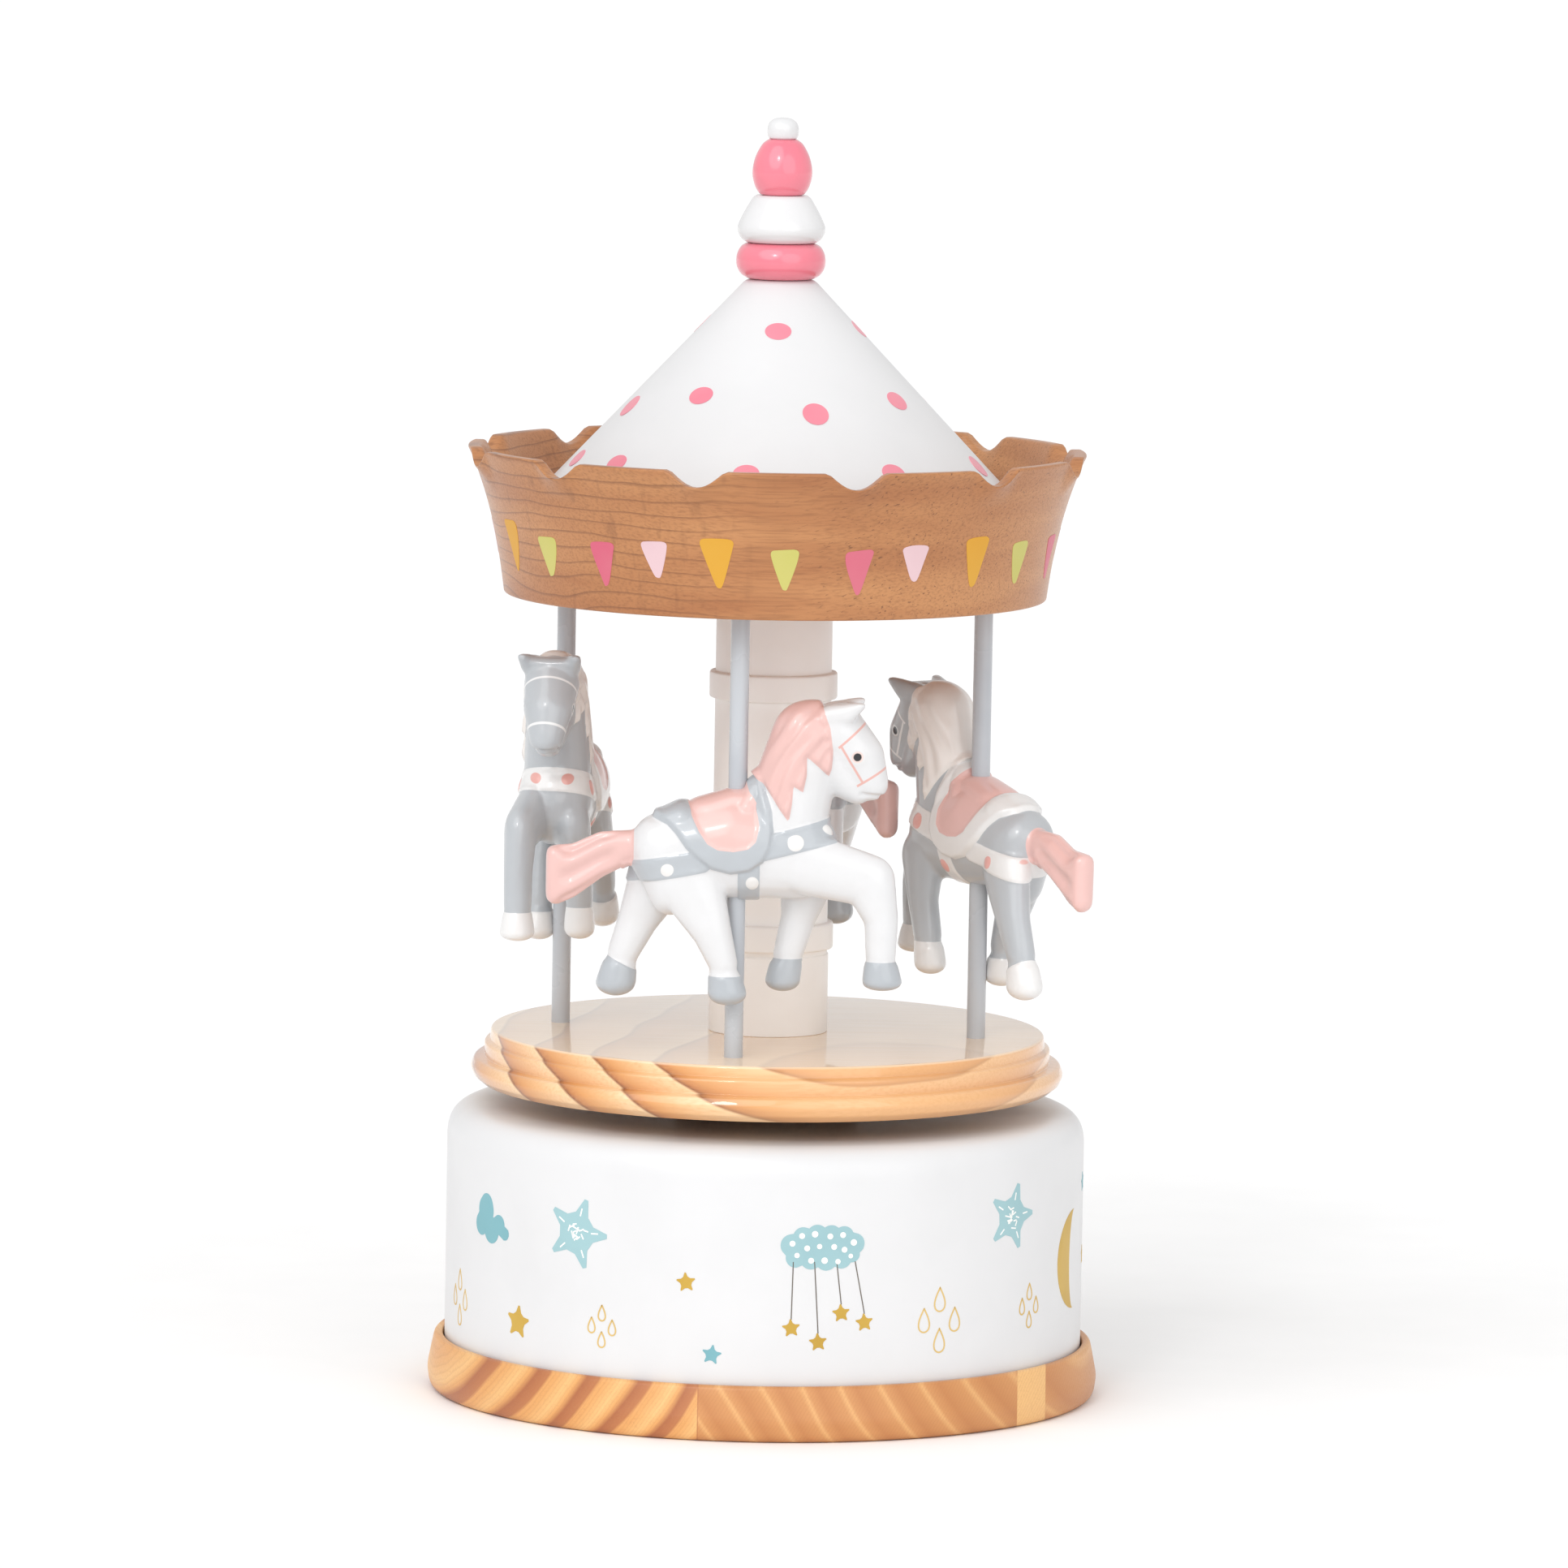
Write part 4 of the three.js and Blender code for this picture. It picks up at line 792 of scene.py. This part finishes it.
mobileStars = [(-5.2, -13.7, -5.0), (-0.6, -16.1, -1.4), (3.3, -11.2, 2.4), (7.4, -12.9, 5.6)]


def scribbles(size, lean):  # short crossing strokes over a star's middle and one along each arm
    strokes = []
    for k in range(15):
        reach, angle = size * random.uniform(0.02, 0.17), random.uniform(0, 2 * math.pi)
        x, y, heading = reach * math.cos(angle), reach * math.sin(angle), random.uniform(0, math.pi)
        half = size * random.uniform(0.03, 0.06)
        strokes.append([(x - half * math.cos(heading), y - half * math.sin(heading)),
                        (x + half * math.cos(heading + 0.5), y + half * math.sin(heading + 0.5))])
    for k in range(5):
        angle = math.radians(90 + lean + 72 * k + 4)
        strokes.append([(size * r * math.cos(angle), size * r * math.sin(angle)) for r in (0.24, 0.29, 0.35)])
    return strokes


def makeDrumMarks():
    random.seed(7)
    paints = {paint: [] for paint in ("teal", "paleTeal", "gold", "goldLine", "string", "white")}
    marks = drumMarks + [(kind, turn + 184, height, size, -lean)
        for kind, turn, height, size, lean in drumMarks[:-2]]

    def put(paint, turn, height, drawings, lift=0.05):
        bm = bmesh.new()
        for draw, *details in drawings:
            draw(bm, *details)
        wrapped(bm, turn, height, drumRadiusAt, lift=lift)
        paints[paint].append(bm)

    for kind, turn, height, size, lean in marks:
        if kind == "cloud":
            put("teal", turn, height, [(addPatch, cloudPoints(smallCloud))])
        elif kind == "bigStar":
            put("paleTeal", turn, height, [(addPatch, starPoints(size * 1.14, lean=lean, dent=0.4))])
            put("white", turn, height, [(addBand, stroke, 0.24, False) for stroke in scribbles(size, lean)],
                0.09)
        elif kind in smallStars:
            put(smallStars[kind], turn, height, [(addPatch, starPoints(size, lean=lean))])
        elif kind == "moon":
            put("gold", turn, height, [(addPatch, moonPoints(size, size * 0.34))])
        elif kind == "drops":
            share = size / 10.8
            places = [(0, 3.6), (-3.1, 0.2), (3.1, 0.0), (0, -3.4)]
            put("goldLine", turn, height, [(addBand, dropPoints(4.1 * share), 0.26, True,
                (x * share, y * share)) for x, y in places])
        elif kind == "mobile":
            put("paleTeal", turn, height, [(addPatch, cloudPoints(mobileCloud, 120))])
            put("white", turn, height, [(addPatch, circlePoints(r, x, y)) for x, y, r in mobileDots], 0.09)
            put("string", turn, height, [(addBand, [(knot, -2.4), (x, y + 1.5)], 0.17, False)
                for x, y, knot in mobileStars])
            put("gold", turn, height, [(addPatch, starPoints(3.6, x, y, 5)) for x, y, knot in mobileStars])
    for paint, parts in paints.items():
        addPiece("drumPrint_" + paint, joined(parts), lacquer(paint + "Print"), "base")


# dots round the roof as turn in degrees and height in millimetres
roofDots = {"size": 4.5, "places": [
    (-1.0, 184.3), (85.6, 184.1), (172, 184.0), (260, 184.4), (-33.9, 173.6), (14.3, 171.2), (56.2, 172.8),
    (-74.2, 170.7), (103, 171.6), (146, 173.4), (190, 171.0), (238, 173.2), (-52.1, 162.0), (-8.6, 161.7),
     (34.5, 161.6),
    (77.6, 161.4), (122, 162.2), (165, 161.5), (208, 162.0), (256, 161.8), (282, 161.6)]}


def makeRoofDots():
    drop = foot["roof_cone"] - top["roof_cone"]
    slope = math.hypot(roofShape["footRadius"] - roofShape["topRadius"], drop)
    parts = []
    for turn, height in roofDots["places"]:
        bm = bmesh.new()
        addPatch(bm, circlePoints(roofDots["size"] / 2, stretch=0.92 + 0.12 * math.sin(turn), count=32))
        wrapped(bm, turn, height, roofRadiusAt, slant=-drop / slope, lift=0.14)
        parts.append(bm)
    addPiece("roofDots", joined(parts), lacquer("pinkDotPaint"), "carousel")


# the painted flags from the left round to the right: turn, paint, width, height and height of their tops
flagCycle = ("goldFlagPaint", "limeFlagPaint", "darkPinkFlagPaint", "palePinkFlagPaint")
flagSizes = {"goldFlagPaint": (5.9, 8.9, 151.9), "limeFlagPaint": (5.2, 7.1, 150.1),
    "darkPinkFlagPaint": (5.2, 7.7, 150.2), "palePinkFlagPaint": (4.9, 6.2, 150.7)}
flagTurns = [-67.6, -53.1, -37.1, -24.7, -11.7, 1.8, 16.8, 29.0, 44.3, 58.8, 76.0, 90.5, 105, 120.4, 135, 150,
    165.2, 180, 195, 210.3, 225, 240, 255.5, 271]
flagOutline = [(-0.5, 0.46), (-0.1, 0.5), (0.5, 0.5), (0.44, 0.2), (0.16, -0.46), (0.02, -0.5), (-0.1, -0.44),
    (-0.42, 0.18)]


def makeFlags():
    parts = {paint: [] for paint in flagCycle}
    shaky = np.random.default_rng(5)
    for k, turn in enumerate(flagTurns):
        paint = flagCycle[k % 4]
        width, height, topZ = flagSizes[paint]
        points = [((x + shaky.uniform(-0.05, 0.05)) * width, (y + shaky.uniform(-0.03, 0.03)) * height)
            for x, y in flagOutline]
        bm = bmesh.new()
        addPatch(bm, softened(points, 2))
        wrapped(bm, turn, topZ - height / 2, crownRadiusAt)
        parts[paint].append(bm)
    for paint, made in parts.items():
        addPiece("crownFlags_" + paint[:-9], joined(made), lacquer(paint), "carousel")


makeDrumMarks()
makeRoofDots()
makeFlags()
print("marks made")

# ---- the horses: one carved body, painted in two schemes and copied to the four poles

# each hull is a run of balls as (u, v, w) and radii in millimetres: u ahead of the pole, v to the left,
# w above the lowest hoof
bodyHulls = [
    [((-11, 0, 25.3), (6.9, 6.1, 7.0)), ((-13.0, 0, 26.4), (5.0, 5.6, 5.6)), ((-1, 0, 26.4), (6, 6.5, 8.8)),
     ((10, 0, 25.6), (7.1, 6.2, 7.9))],
    [((8.2, 0, 30.5), (7.2, 5.8, 6.5)), ((9.8, 0, 38), (6.2, 5.3, 5)), ((11.8, 0, 45.3), (5.6, 4.8, 5.6))],
    [((16.9, 0, 46.2), (4.6, 4.8, 4.9)), ((20.9, 0, 42.0), (3.8, 4.1, 4.1)), ((22.4, 0, 37.6),
     (3.1, 3.0, 3.0))],
    [((12.5, 0, 47.4), (3.8, 4.0, 3.6)), ((17, 0, 47.2), (3, 4.2, 3.2))],
    [((14.5, 0, 42), (3, 4.4, 4.4)), ((17.4, 0, 38.6), (2.4, 3.0, 3.6)), ((20.2, 0, 36.2), (2.3, 2.5, 2.3))],
    [((-16.6, 0, 26.6), (1.8, 2.0, 2.5)), ((-23.0, 0, 24.7), (1.8, 2.4, 4.0))],
    [((-23.0, 0, 24.7), (1.8, 2.4, 4.0)), ((-27.6, 0, 21.9), (1.6, 2.3, 4.7))],
    [((-27.6, 0, 21.9), (1.6, 2.3, 4.7)), ((-31.0, 0, 24.7), (1.3, 2.0, 1.5)), ((-30.6, 0, 17.9),
     (1.7, 2.0, 1.9))],
    [((0, 0, 34.3), (3.4, 3.4, 1.7)), ((-5, 0, 32.6), (3.4, 4.0, 1.9))],
    [((-11, 0, 24), (6.2, 5.9, 6.3)), ((-11.2, 0, 19.4), (3.8, 5.2, 4.9))],
    [((18.0, -3.3, 50.0), (2.2, 1.6, 1.1)), ((18.0, 3.3, 50.0), (2.2, 1.6, 1.1))],
    [((3.0, 0, 35.4), (1.3, 3.0, 2.6)), ((1.6, 0, 33.2), (2, 4.6, 2))],
    [((-11.8, 0, 30.7), (1.5, 4.0, 1.7)), ((-9.3, 0, 31.2), (2, 4.6, 2.4))],
]
# legs as the side, the run of (u, v, w, reach, half width), then the hoof's top and sole as
# (u, v, w, reach, half height)
legRuns = [
    (-1, [(12, 3.2, 24, 5.4, 3.2), (22.4, 4.2, 21.5, 4.5, 2.8)], None),
    (-1, [(22.4, 4.2, 21.5, 4.5, 2.8), (24.6, 4.2, 15, 2.9, 2.5), (24.6, 4.2, 8.5, 2.6, 2.4)],
     [(24.7, 4.2, 6.9, 2.8, 0.9), (24.9, 4.2, 4.2, 3.3, 1.25)]),
    (1, [(12.2, 3.2, 21.5, 4.8, 3.2), (10.6, 4.2, 14, 3.0, 2.5), (9.0, 4.2, 8.0, 2.6, 2.4)],
     [(8.6, 4.2, 6.0, 2.7, 1.1), (8.1, 4.2, 3.2, 2.9, 1.7)]),
    (-1, [(-8, 3.2, 21, 5.8, 3.2), (-4.0, 4.2, 12.5, 3.4, 2.6), (-2.0, 4.2, 7, 2.5, 2.4)],
     [(-1.7, 4.2, 5.0, 2.7, 1.1), (-1.2, 4.2, 1.85, 3.2, 1.85)]),
    (1, [(-12.8, 3.2, 21.2, 5.4, 3.2), (-16.5, 4.2, 13.4, 3.5, 2.6), (-19.0, 4.2, 7.6, 2.7, 2.4)],
     [(-19.6, 4.2, 5.5, 2.9, 1.4), (-20.2, 4.2, 2.4, 3.3, 2.15)]),
]
earHulls = [((15.6, 2.8, 49.2), (2.2, 1.8, 1.9)), ((18.2, 3.9, 49.6), (1.5, 1.4, 1.7)),
    ((20.6, 4.6, 51.2), (0.95, 0.95, 0.6))]
horseShape = {"voxel": 0.36, "smoothing": 7, "borderRise": 0.85, "seatDip": 0.25, "strapRise": 0.32,
    "hairRise": 0.75, "hoofRise": 0.18, "lockDepth": 0.4, "lockWidth": 2.3, "foldDepth": 0.8,
    "foldWidth": 4.6, "spotRise": 0.22}

saddleEdge = [(-14.3, 31.4), (-11.8, 30.4), (-10.3, 28.9), (-8.6, 26.6), (-6.8, 24.9), (-4.2, 23.1),
    (-1.0, 22.3), (2.2, 22.8), (4.5, 24.4), (5.8, 26.8), (6.2, 29.6), (5.9, 33.0), (5.0, 36.0), (4.3, 38.5),
    (4.0, 41), (-14.6, 41)]
seatEdge = [(-8.6, 34.2), (-7.6, 31.6), (-6.3, 29.2), (-4.9, 27.4), (-3.2, 26.5), (-0.6, 26.3), (1.9, 26.7),
    (3.2, 27.9), (3.7, 30.2), (3.2, 33.2), (2.2, 35.6), (1.8, 41), (-9.0, 41)]
maneEdge = [(13.4, 53), (15.5, 47.1), (16.0, 43.4), (15.8, 40.3), (15.3, 39.0), (13.6, 40.6), (11.6, 42.4),
    (11.6, 39.2), (11.0, 36.3), (10.2, 36.9), (9.4, 37.4), (9.2, 34.5), (8.7, 31.3), (7.2, 33.3), (5.6, 35.8),
    (4.4, 37.6), (2.8, 38.4), (-1, 37.8), (0, 45), (6, 54)]
# the crest of the neck, which the locks run along
neckLine = [(-2, 33), (1.5, 37.3), (5.2, 43.4), (8.8, 49.7), (12, 52), (15, 52)]
tailEdge = [(-17.4, 30.5), (-23, 30), (-30, 27.5), (-35, 28), (-35, 14), (-29.5, 15), (-25.6, 17.2),
    (-21.1, 20.2), (-17.4, 23.3)]

# painted bands as start, end and half width, spots as place and radius, all in the side view as (u, w)
horseMarks = {
    "breast": ((4.0, 26.7), (22, 31.3), 2.1), "crupper": ((-22, 21.2), (-6, 24.4), 1.95),
    "mouth": ((20.9, 35.9), (24.5, 35.4), 0.3), "eye": (20.1, 42.4),
    "spots": [(9.9, 27.8, 1.36), (-11.6, 22.9, 1.1), (2.7, 21.0, 1.1)],
    "bridle": {"brow": ((16.9, 43.9), (21.9, 48.4)), "cheek": ((17.3, 44.2), (21.1, 37.9)),
               "noseband": ((20.1, 37.3), (25.6, 40.8))},
}


def areaDistance(points, corners):  # signed millimetres from an outline in the side view, above 0 inside it
    a = np.array(corners, float)
    b = np.roll(a, -1, axis=0)
    nearest = np.full(len(points), 1e9)
    inside = np.zeros(len(points), bool)
    for (ax, ay), (bx, by) in zip(a, b):
        edge = np.array([bx - ax, by - ay])
        away = points - [ax, ay]
        t = np.clip(away @ edge / (edge @ edge), 0, 1)
        nearest = np.minimum(nearest, np.linalg.norm(away - t[:, None] * edge, axis=1))
        crosses = (points[:, 1] < ay) != (points[:, 1] < by)
        with np.errstate(divide="ignore", invalid="ignore"):
            crossing = ax + (points[:, 1] - ay) / (by - ay) * (bx - ax)
        inside ^= crosses & (points[:, 0] < crossing)
    return np.where(inside, nearest, -nearest)


def bandDistance(points, start, end, halfWidth):
    a, edge = np.array(start, float), np.array(end, float) - np.array(start, float)
    t = np.clip((points - a) @ edge / (edge @ edge), 0, 1)
    return halfWidth - np.linalg.norm(points - a - t[:, None] * edge, axis=1)


def lineFrame(points, start, end):  # across a line, along it from its start, and what is left of it
    a, edge = np.array(start, float), np.array(end, float) - np.array(start, float)
    length = np.linalg.norm(edge)
    away = points - a
    across = (away[:, 0] * edge[1] - away[:, 1] * edge[0]) / length
    along = away @ edge / length
    return np.stack([across, along, length - along], axis=1)


def smoothStep(value, low, high):
    t = np.clip((value - low) / (high - low), 0, 1)
    return t * t * (3 - 2 * t)


def hullPart(balls):
    bm = bmesh.new()
    for centre, radii in balls:
        place = Matrix.Translation(Vector(centre)) @ Matrix.Diagonal(Vector(radii)).to_4x4()
        bmesh.ops.create_icosphere(bm, subdivisions=3, radius=1, matrix=place)
    spare = bmesh.ops.convex_hull(bm, input=bm.verts[:])
    unused = {v for key in ("geom_interior", "geom_unused") for v in spare[key]
        if isinstance(v, bmesh.types.BMVert)}
    bmesh.ops.delete(bm, geom=list(unused), context="VERTS")
    bmesh.ops.delete(bm, geom=[f for f in spare["geom_holes"] if isinstance(f, bmesh.types.BMFace)
        and f.is_valid], context="FACES_ONLY")
    return bm


def carvedHorse():  # the bare body in millimetres, voxel-joined and smoothed
    parts = [hullPart(balls) for balls in bodyHulls]
    for side in (-1, 1):
        parts.append(hullPart([((u, side * v, w), radii) for (u, v, w), radii in earHulls]))
    for side, run, hoof in legRuns:
        balls = [((u, side * v, w), (reach, half, reach)) for u, v, w, reach, half in run]
        parts += [hullPart(pair) for pair in zip(balls, balls[1:])]
        if hoof:
            parts.append(hullPart([((u, side * v, w), (reach, reach * 0.88, half))
                for u, v, w, reach, half in hoof]))
    bm = joined(parts)
    mesh = bpy.data.meshes.new("carvedHorse")
    bm.to_mesh(mesh)
    bm.free()
    rough = bpy.data.objects.new("carvedHorse", mesh)
    bpy.context.scene.collection.objects.link(rough)
    remesh = rough.modifiers.new("remesh", "REMESH")
    remesh.mode = "VOXEL"
    remesh.voxel_size = horseShape["voxel"]
    solid = bpy.data.meshes.new_from_object(rough.evaluated_get(bpy.context.evaluated_depsgraph_get()))
    bpy.data.objects.remove(rough)
    bpy.data.meshes.remove(mesh)
    bm = bmesh.new()
    bm.from_mesh(solid)
    for _ in range(horseShape["smoothing"]):
        bmesh.ops.smooth_vert(bm, verts=bm.verts, factor=0.5, use_axis_x=True, use_axis_y=True,
            use_axis_z=True)
    bm.to_mesh(solid)
    bm.free()
    return solid


def paintedFields(mesh):
    # measures how far each point is inside each painted area, and raises or carves the surface to match
    s = horseShape
    count = len(mesh.vertices)
    place = np.empty(count * 3)
    mesh.vertices.foreach_get("co", place)
    place = place.reshape(-1, 3)
    normal = np.empty(count * 3)
    mesh.vertices.foreach_get("normal", normal)
    normal = normal.reshape(-1, 3)
    u, v, w = place.T
    flat = place[:, [0, 2]]
    onBody = smoothStep(w, 15, 17)
    cover = areaDistance(flat, saddleEdge)
    seat = areaDistance(flat, seatEdge)
    breast = bandDistance(flat, *horseMarks["breast"])
    crupper = bandDistance(flat, *horseMarks["crupper"])
    crupper = np.where(u < -19.5, -2, crupper)
    girth = np.where(w < 25, 1.85 - np.abs(u - 2.1), -2) - 4 * (1 - smoothStep(w, 14, 16))
    girth = np.where(np.abs(v) > 7.2, -2, girth)
    strap = np.maximum(np.maximum(breast, crupper), girth)
    strap = np.where(w > 32.5, -2, strap)
    spot = np.max([r - np.hypot(u - a, w - b) for a, b, r in horseMarks["spots"]], axis=0)
    spot = np.maximum(spot, np.where(u > 13.5, 0.95 - np.hypot(np.abs(v) - 2.6, w - 29.7), -2))
    mane = areaDistance(flat, maneEdge)
    tail = areaDistance(flat, tailEdge)
    hair = np.maximum(mane, tail)
    hoof = np.max([
        np.minimum(7.8 - w, u - 20), np.minimum(np.minimum(7.1 - w, v), 5 - np.abs(u - 8)),
        np.minimum(np.minimum(4.9 - w, -v), 6 - np.abs(u + 2)),
        np.minimum(np.minimum(7.5 - (u + 22.3) * 0.52 - w, v), -14 - u)], axis=0)
    eye = np.hypot(u - horseMarks["eye"][0], w - horseMarks["eye"][1])

    # locks fan down the neck; folds run along the tail
    crest = np.max([bandDistance(flat, a, b, 0.0) for a, b in zip(neckLine, neckLine[1:])], axis=0)
    fan = -crest + 0.35 * np.sin(w * 0.5) + 0.03 * (48 - w) * np.sin(u * 0.8)
    locks = 0.5 + 0.5 * np.cos(fan / s["lockWidth"] * 2 * np.pi + 0.6)
    locks = locks * (0.8 + 0.2 * np.sin(fan * 1.7 + w * 0.2))
    middle = np.interp(u, [-33, -28, -23, -17], [20.8, 21.8, 24.6, 26.6])
    fold = 0.5 + 0.5 * np.cos((w - middle + 0.5) / s["foldWidth"] * 2 * np.pi)
    rise = s["borderRise"] * smoothStep(cover, -0.15, 0.75) - s["seatDip"] * smoothStep(seat, -0.1, 0.6)
    rise += s["strapRise"] * smoothStep(strap, -0.1, 0.3) * onBody * (1 - smoothStep(cover, -0.3, 0.2))
    rise += s["spotRise"] * smoothStep(spot, -0.1, 0.5) * onBody
    onSides = smoothStep(np.abs(v), 0.8, 3.2)
    rise += smoothStep(mane, -0.15, 0.6) * (s["hairRise"] - s["lockDepth"] * locks * onSides)
    onTail = smoothStep(tail, 0.2, 1.5) * smoothStep(np.abs(v), 0.5, 1.5)
    rise -= s["foldDepth"] * fold * onTail * smoothStep(-u, 19, 22) * smoothStep(u, -31.0, -28.0)
    rise += s["hoofRise"] * smoothStep(hoof, -0.1, 0.25)
    socket = np.exp(-((eye - 1.1) / 0.45) ** 2) * 0.12
    mouth = bandDistance(flat, *horseMarks["mouth"])
    rise += socket - 0.3 * smoothStep(mouth, -0.25, 0.2) * (w > 30)
    place += normal * rise[:, None]
    mesh.vertices.foreach_set("co", place.ravel())

    fields = {"cover": cover, "seat": seat, "strap": np.where(w < 16, -2, strap),
        "spot": np.where(w < 16, -2, spot), "hair": hair, "hoof": hoof, "eye": eye}
    for name, values in fields.items():
        mesh.attributes.new(name, "FLOAT", "POINT").data.foreach_set("value", values.astype(np.float32))
    for name, (start, end) in horseMarks["bridle"].items():
        frameOf = lineFrame(flat, start, end).astype(np.float32)
        mesh.attributes.new(name, "FLOAT_VECTOR", "POINT").data.foreach_set("vector", frameOf.ravel())


# colours of the two schemes
whiteScheme = {"coat": "#DDDDDE", "hair": "#E1B8B2", "border": "#B4B9BE", "seat": "#E2BAB4",
    "strap": "#B4B9BE", "spot": "#E6E4E2", "hoof": "#B0B5BA", "bridle": "#E0ADA4", "ring": "#E4CFC9"}
greyScheme = {"coat": "#B4B8BC", "hair": "#E9E3DE", "border": "#E4E3E2", "seat": "#E4BAB4",
    "strap": "#E4E3E2", "spot": "#E2A79F", "hoof": "#E4E3E2", "bridle": "#E6E6E6", "ring": "#D9DADB",
    "tail": "#E4BAB4"}


def horsePaint(name, scheme):  # glossy hand-brushed enamel in crisp areas over the carved wood
    material, add, shader = newMaterial(name, {"IOR": 1.5, "Coat Weight": 0.55, "Coat Roughness": 0.1,
        "Roughness": 0.3})

    def field(attribute):
        return add("Attribute", attribute_name=attribute)

    def inside(attribute, low=-0.05, high=0.05):
        return add("MapRange", (field(attribute).outputs["Fac"], low, high))

    def line(attribute, half):
        apart = add("SeparateXYZ", {"Vector": field(attribute).outputs["Vector"]}).outputs
        near = add("MapRange", (add("Math", (apart[0],), operation="ABSOLUTE"), half + 0.06, half - 0.06))
        begun = add("Math", (apart[1], 0.0), operation="GREATER_THAN")
        left = add("Math", (apart[2], 0.0), operation="GREATER_THAN")
        return add("Math", (near, add("Math", (begun, left), operation="MULTIPLY")), operation="MULTIPLY")

    where = coordinates(add)
    brushed = add("TexNoise", {"Vector": where, "Scale": 260, "Detail": 3})
    colour = add("Mix", {0: inside("strap"), 6: scheme["coat"], 7: scheme["strap"]}, data_type="RGBA")
    for share, paint in (
            (inside("spot"), scheme["spot"]),
            (inside("cover"), scheme["border"]),
            (inside("seat"), scheme["seat"])):
        colour = add("Mix", {0: share, 6: colour, 7: paint}, data_type="RGBA")
    for attribute in ("brow", "cheek", "noseband"):
        colour = add("Mix", {0: line(attribute, 0.2), 6: colour, 7: scheme["bridle"]}, data_type="RGBA")
    hairColour = scheme["hair"]
    if "tail" in scheme:
        across = add("Attribute", attribute_name="brow").outputs["Vector"]
        behind = add("SeparateXYZ", {"Vector": across}).outputs[1]
        hairColour = add("Mix", {0: add("Math", (behind, -20.0), operation="LESS_THAN"), 6: scheme["hair"],
            7: scheme["tail"]}, data_type="RGBA")
    for share, paint in (
            (inside("hair"), hairColour),
            (inside("hoof"), scheme["hoof"]),
            (inside("eye", 1.06, 0.96), scheme["ring"]),
            (inside("eye", 0.76, 0.64), "#15161A")):
        colour = add("Mix", {0: share, 6: colour, 7: paint}, data_type="RGBA")
    strokes = add("MapRange", (brushed, 0.3, 0.8, 0.0, 0.12))
    colour = add("Mix", {0: strokes, 6: colour, 7: "#D9D4CE"}, data_type="RGBA", blend_type="MULTIPLY")
    ripple = add("TexNoise", {"Vector": where, "Scale": 450, "Detail": 3})
    connect(shader, {"Base Color": colour,
                     "Normal": add("Bump", {"Height": ripple, "Distance": 0.012 * mm, "Strength": 0.4})})
    return material


# headings in degrees from +X, and each horse's paint
horsePlaces = {"front": (0, "white"), "right": (124, "grey"), "back": (118, "white"), "left": (263, "grey")}


def makeHorses():
    paints = {"white": horsePaint("whiteHorseEnamel", whiteScheme),
        "grey": horsePaint("greyHorseEnamel", greyScheme)}
    carved = carvedHorse()
    paintedFields(carved)
    low = min(vertex.co.z for vertex in carved.vertices)
    for side, (heading, paint) in horsePlaces.items():
        pole = [(a + b) / 2 for a, b in zip(*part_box("pole_" + side))]
        mesh = carved.copy()
        mesh.transform(Matrix.Translation((pole[0], pole[1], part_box("horse_" + side)[0][2]))
                       @ Matrix.Rotation(math.radians(heading), 4, "Z") @ Matrix.Scale(mm, 4)
                       @ Matrix.Translation((0, 0, -low)))
        addMesh("horsePainted_" + side, mesh, paints[paint], "carousel", ["horse_" + side],
                sharp=75)
    print("horse has", len(carved.polygons), "faces")
    bpy.data.meshes.remove(carved)


makeHorses()
print("horses made")

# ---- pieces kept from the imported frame

slotOf = {part["node"]: part["material_slot"] for part in frame["record"]["subparts"]}
for nodeName, node in frame["nodes"].items():
    finish = keptFinish.get(slotOf.get(nodeName))
    if finish and not node.hide_render:
        for slot in node.material_slots:
            slot.material = hardwareOf[finish]
        if not node.material_slots:
            node.data.materials.append(hardwareOf[finish])
    elif nodeName == "finial_dowel":
        for slot in node.material_slots:
            slot.material = crownBeech
print("kept pieces finished")
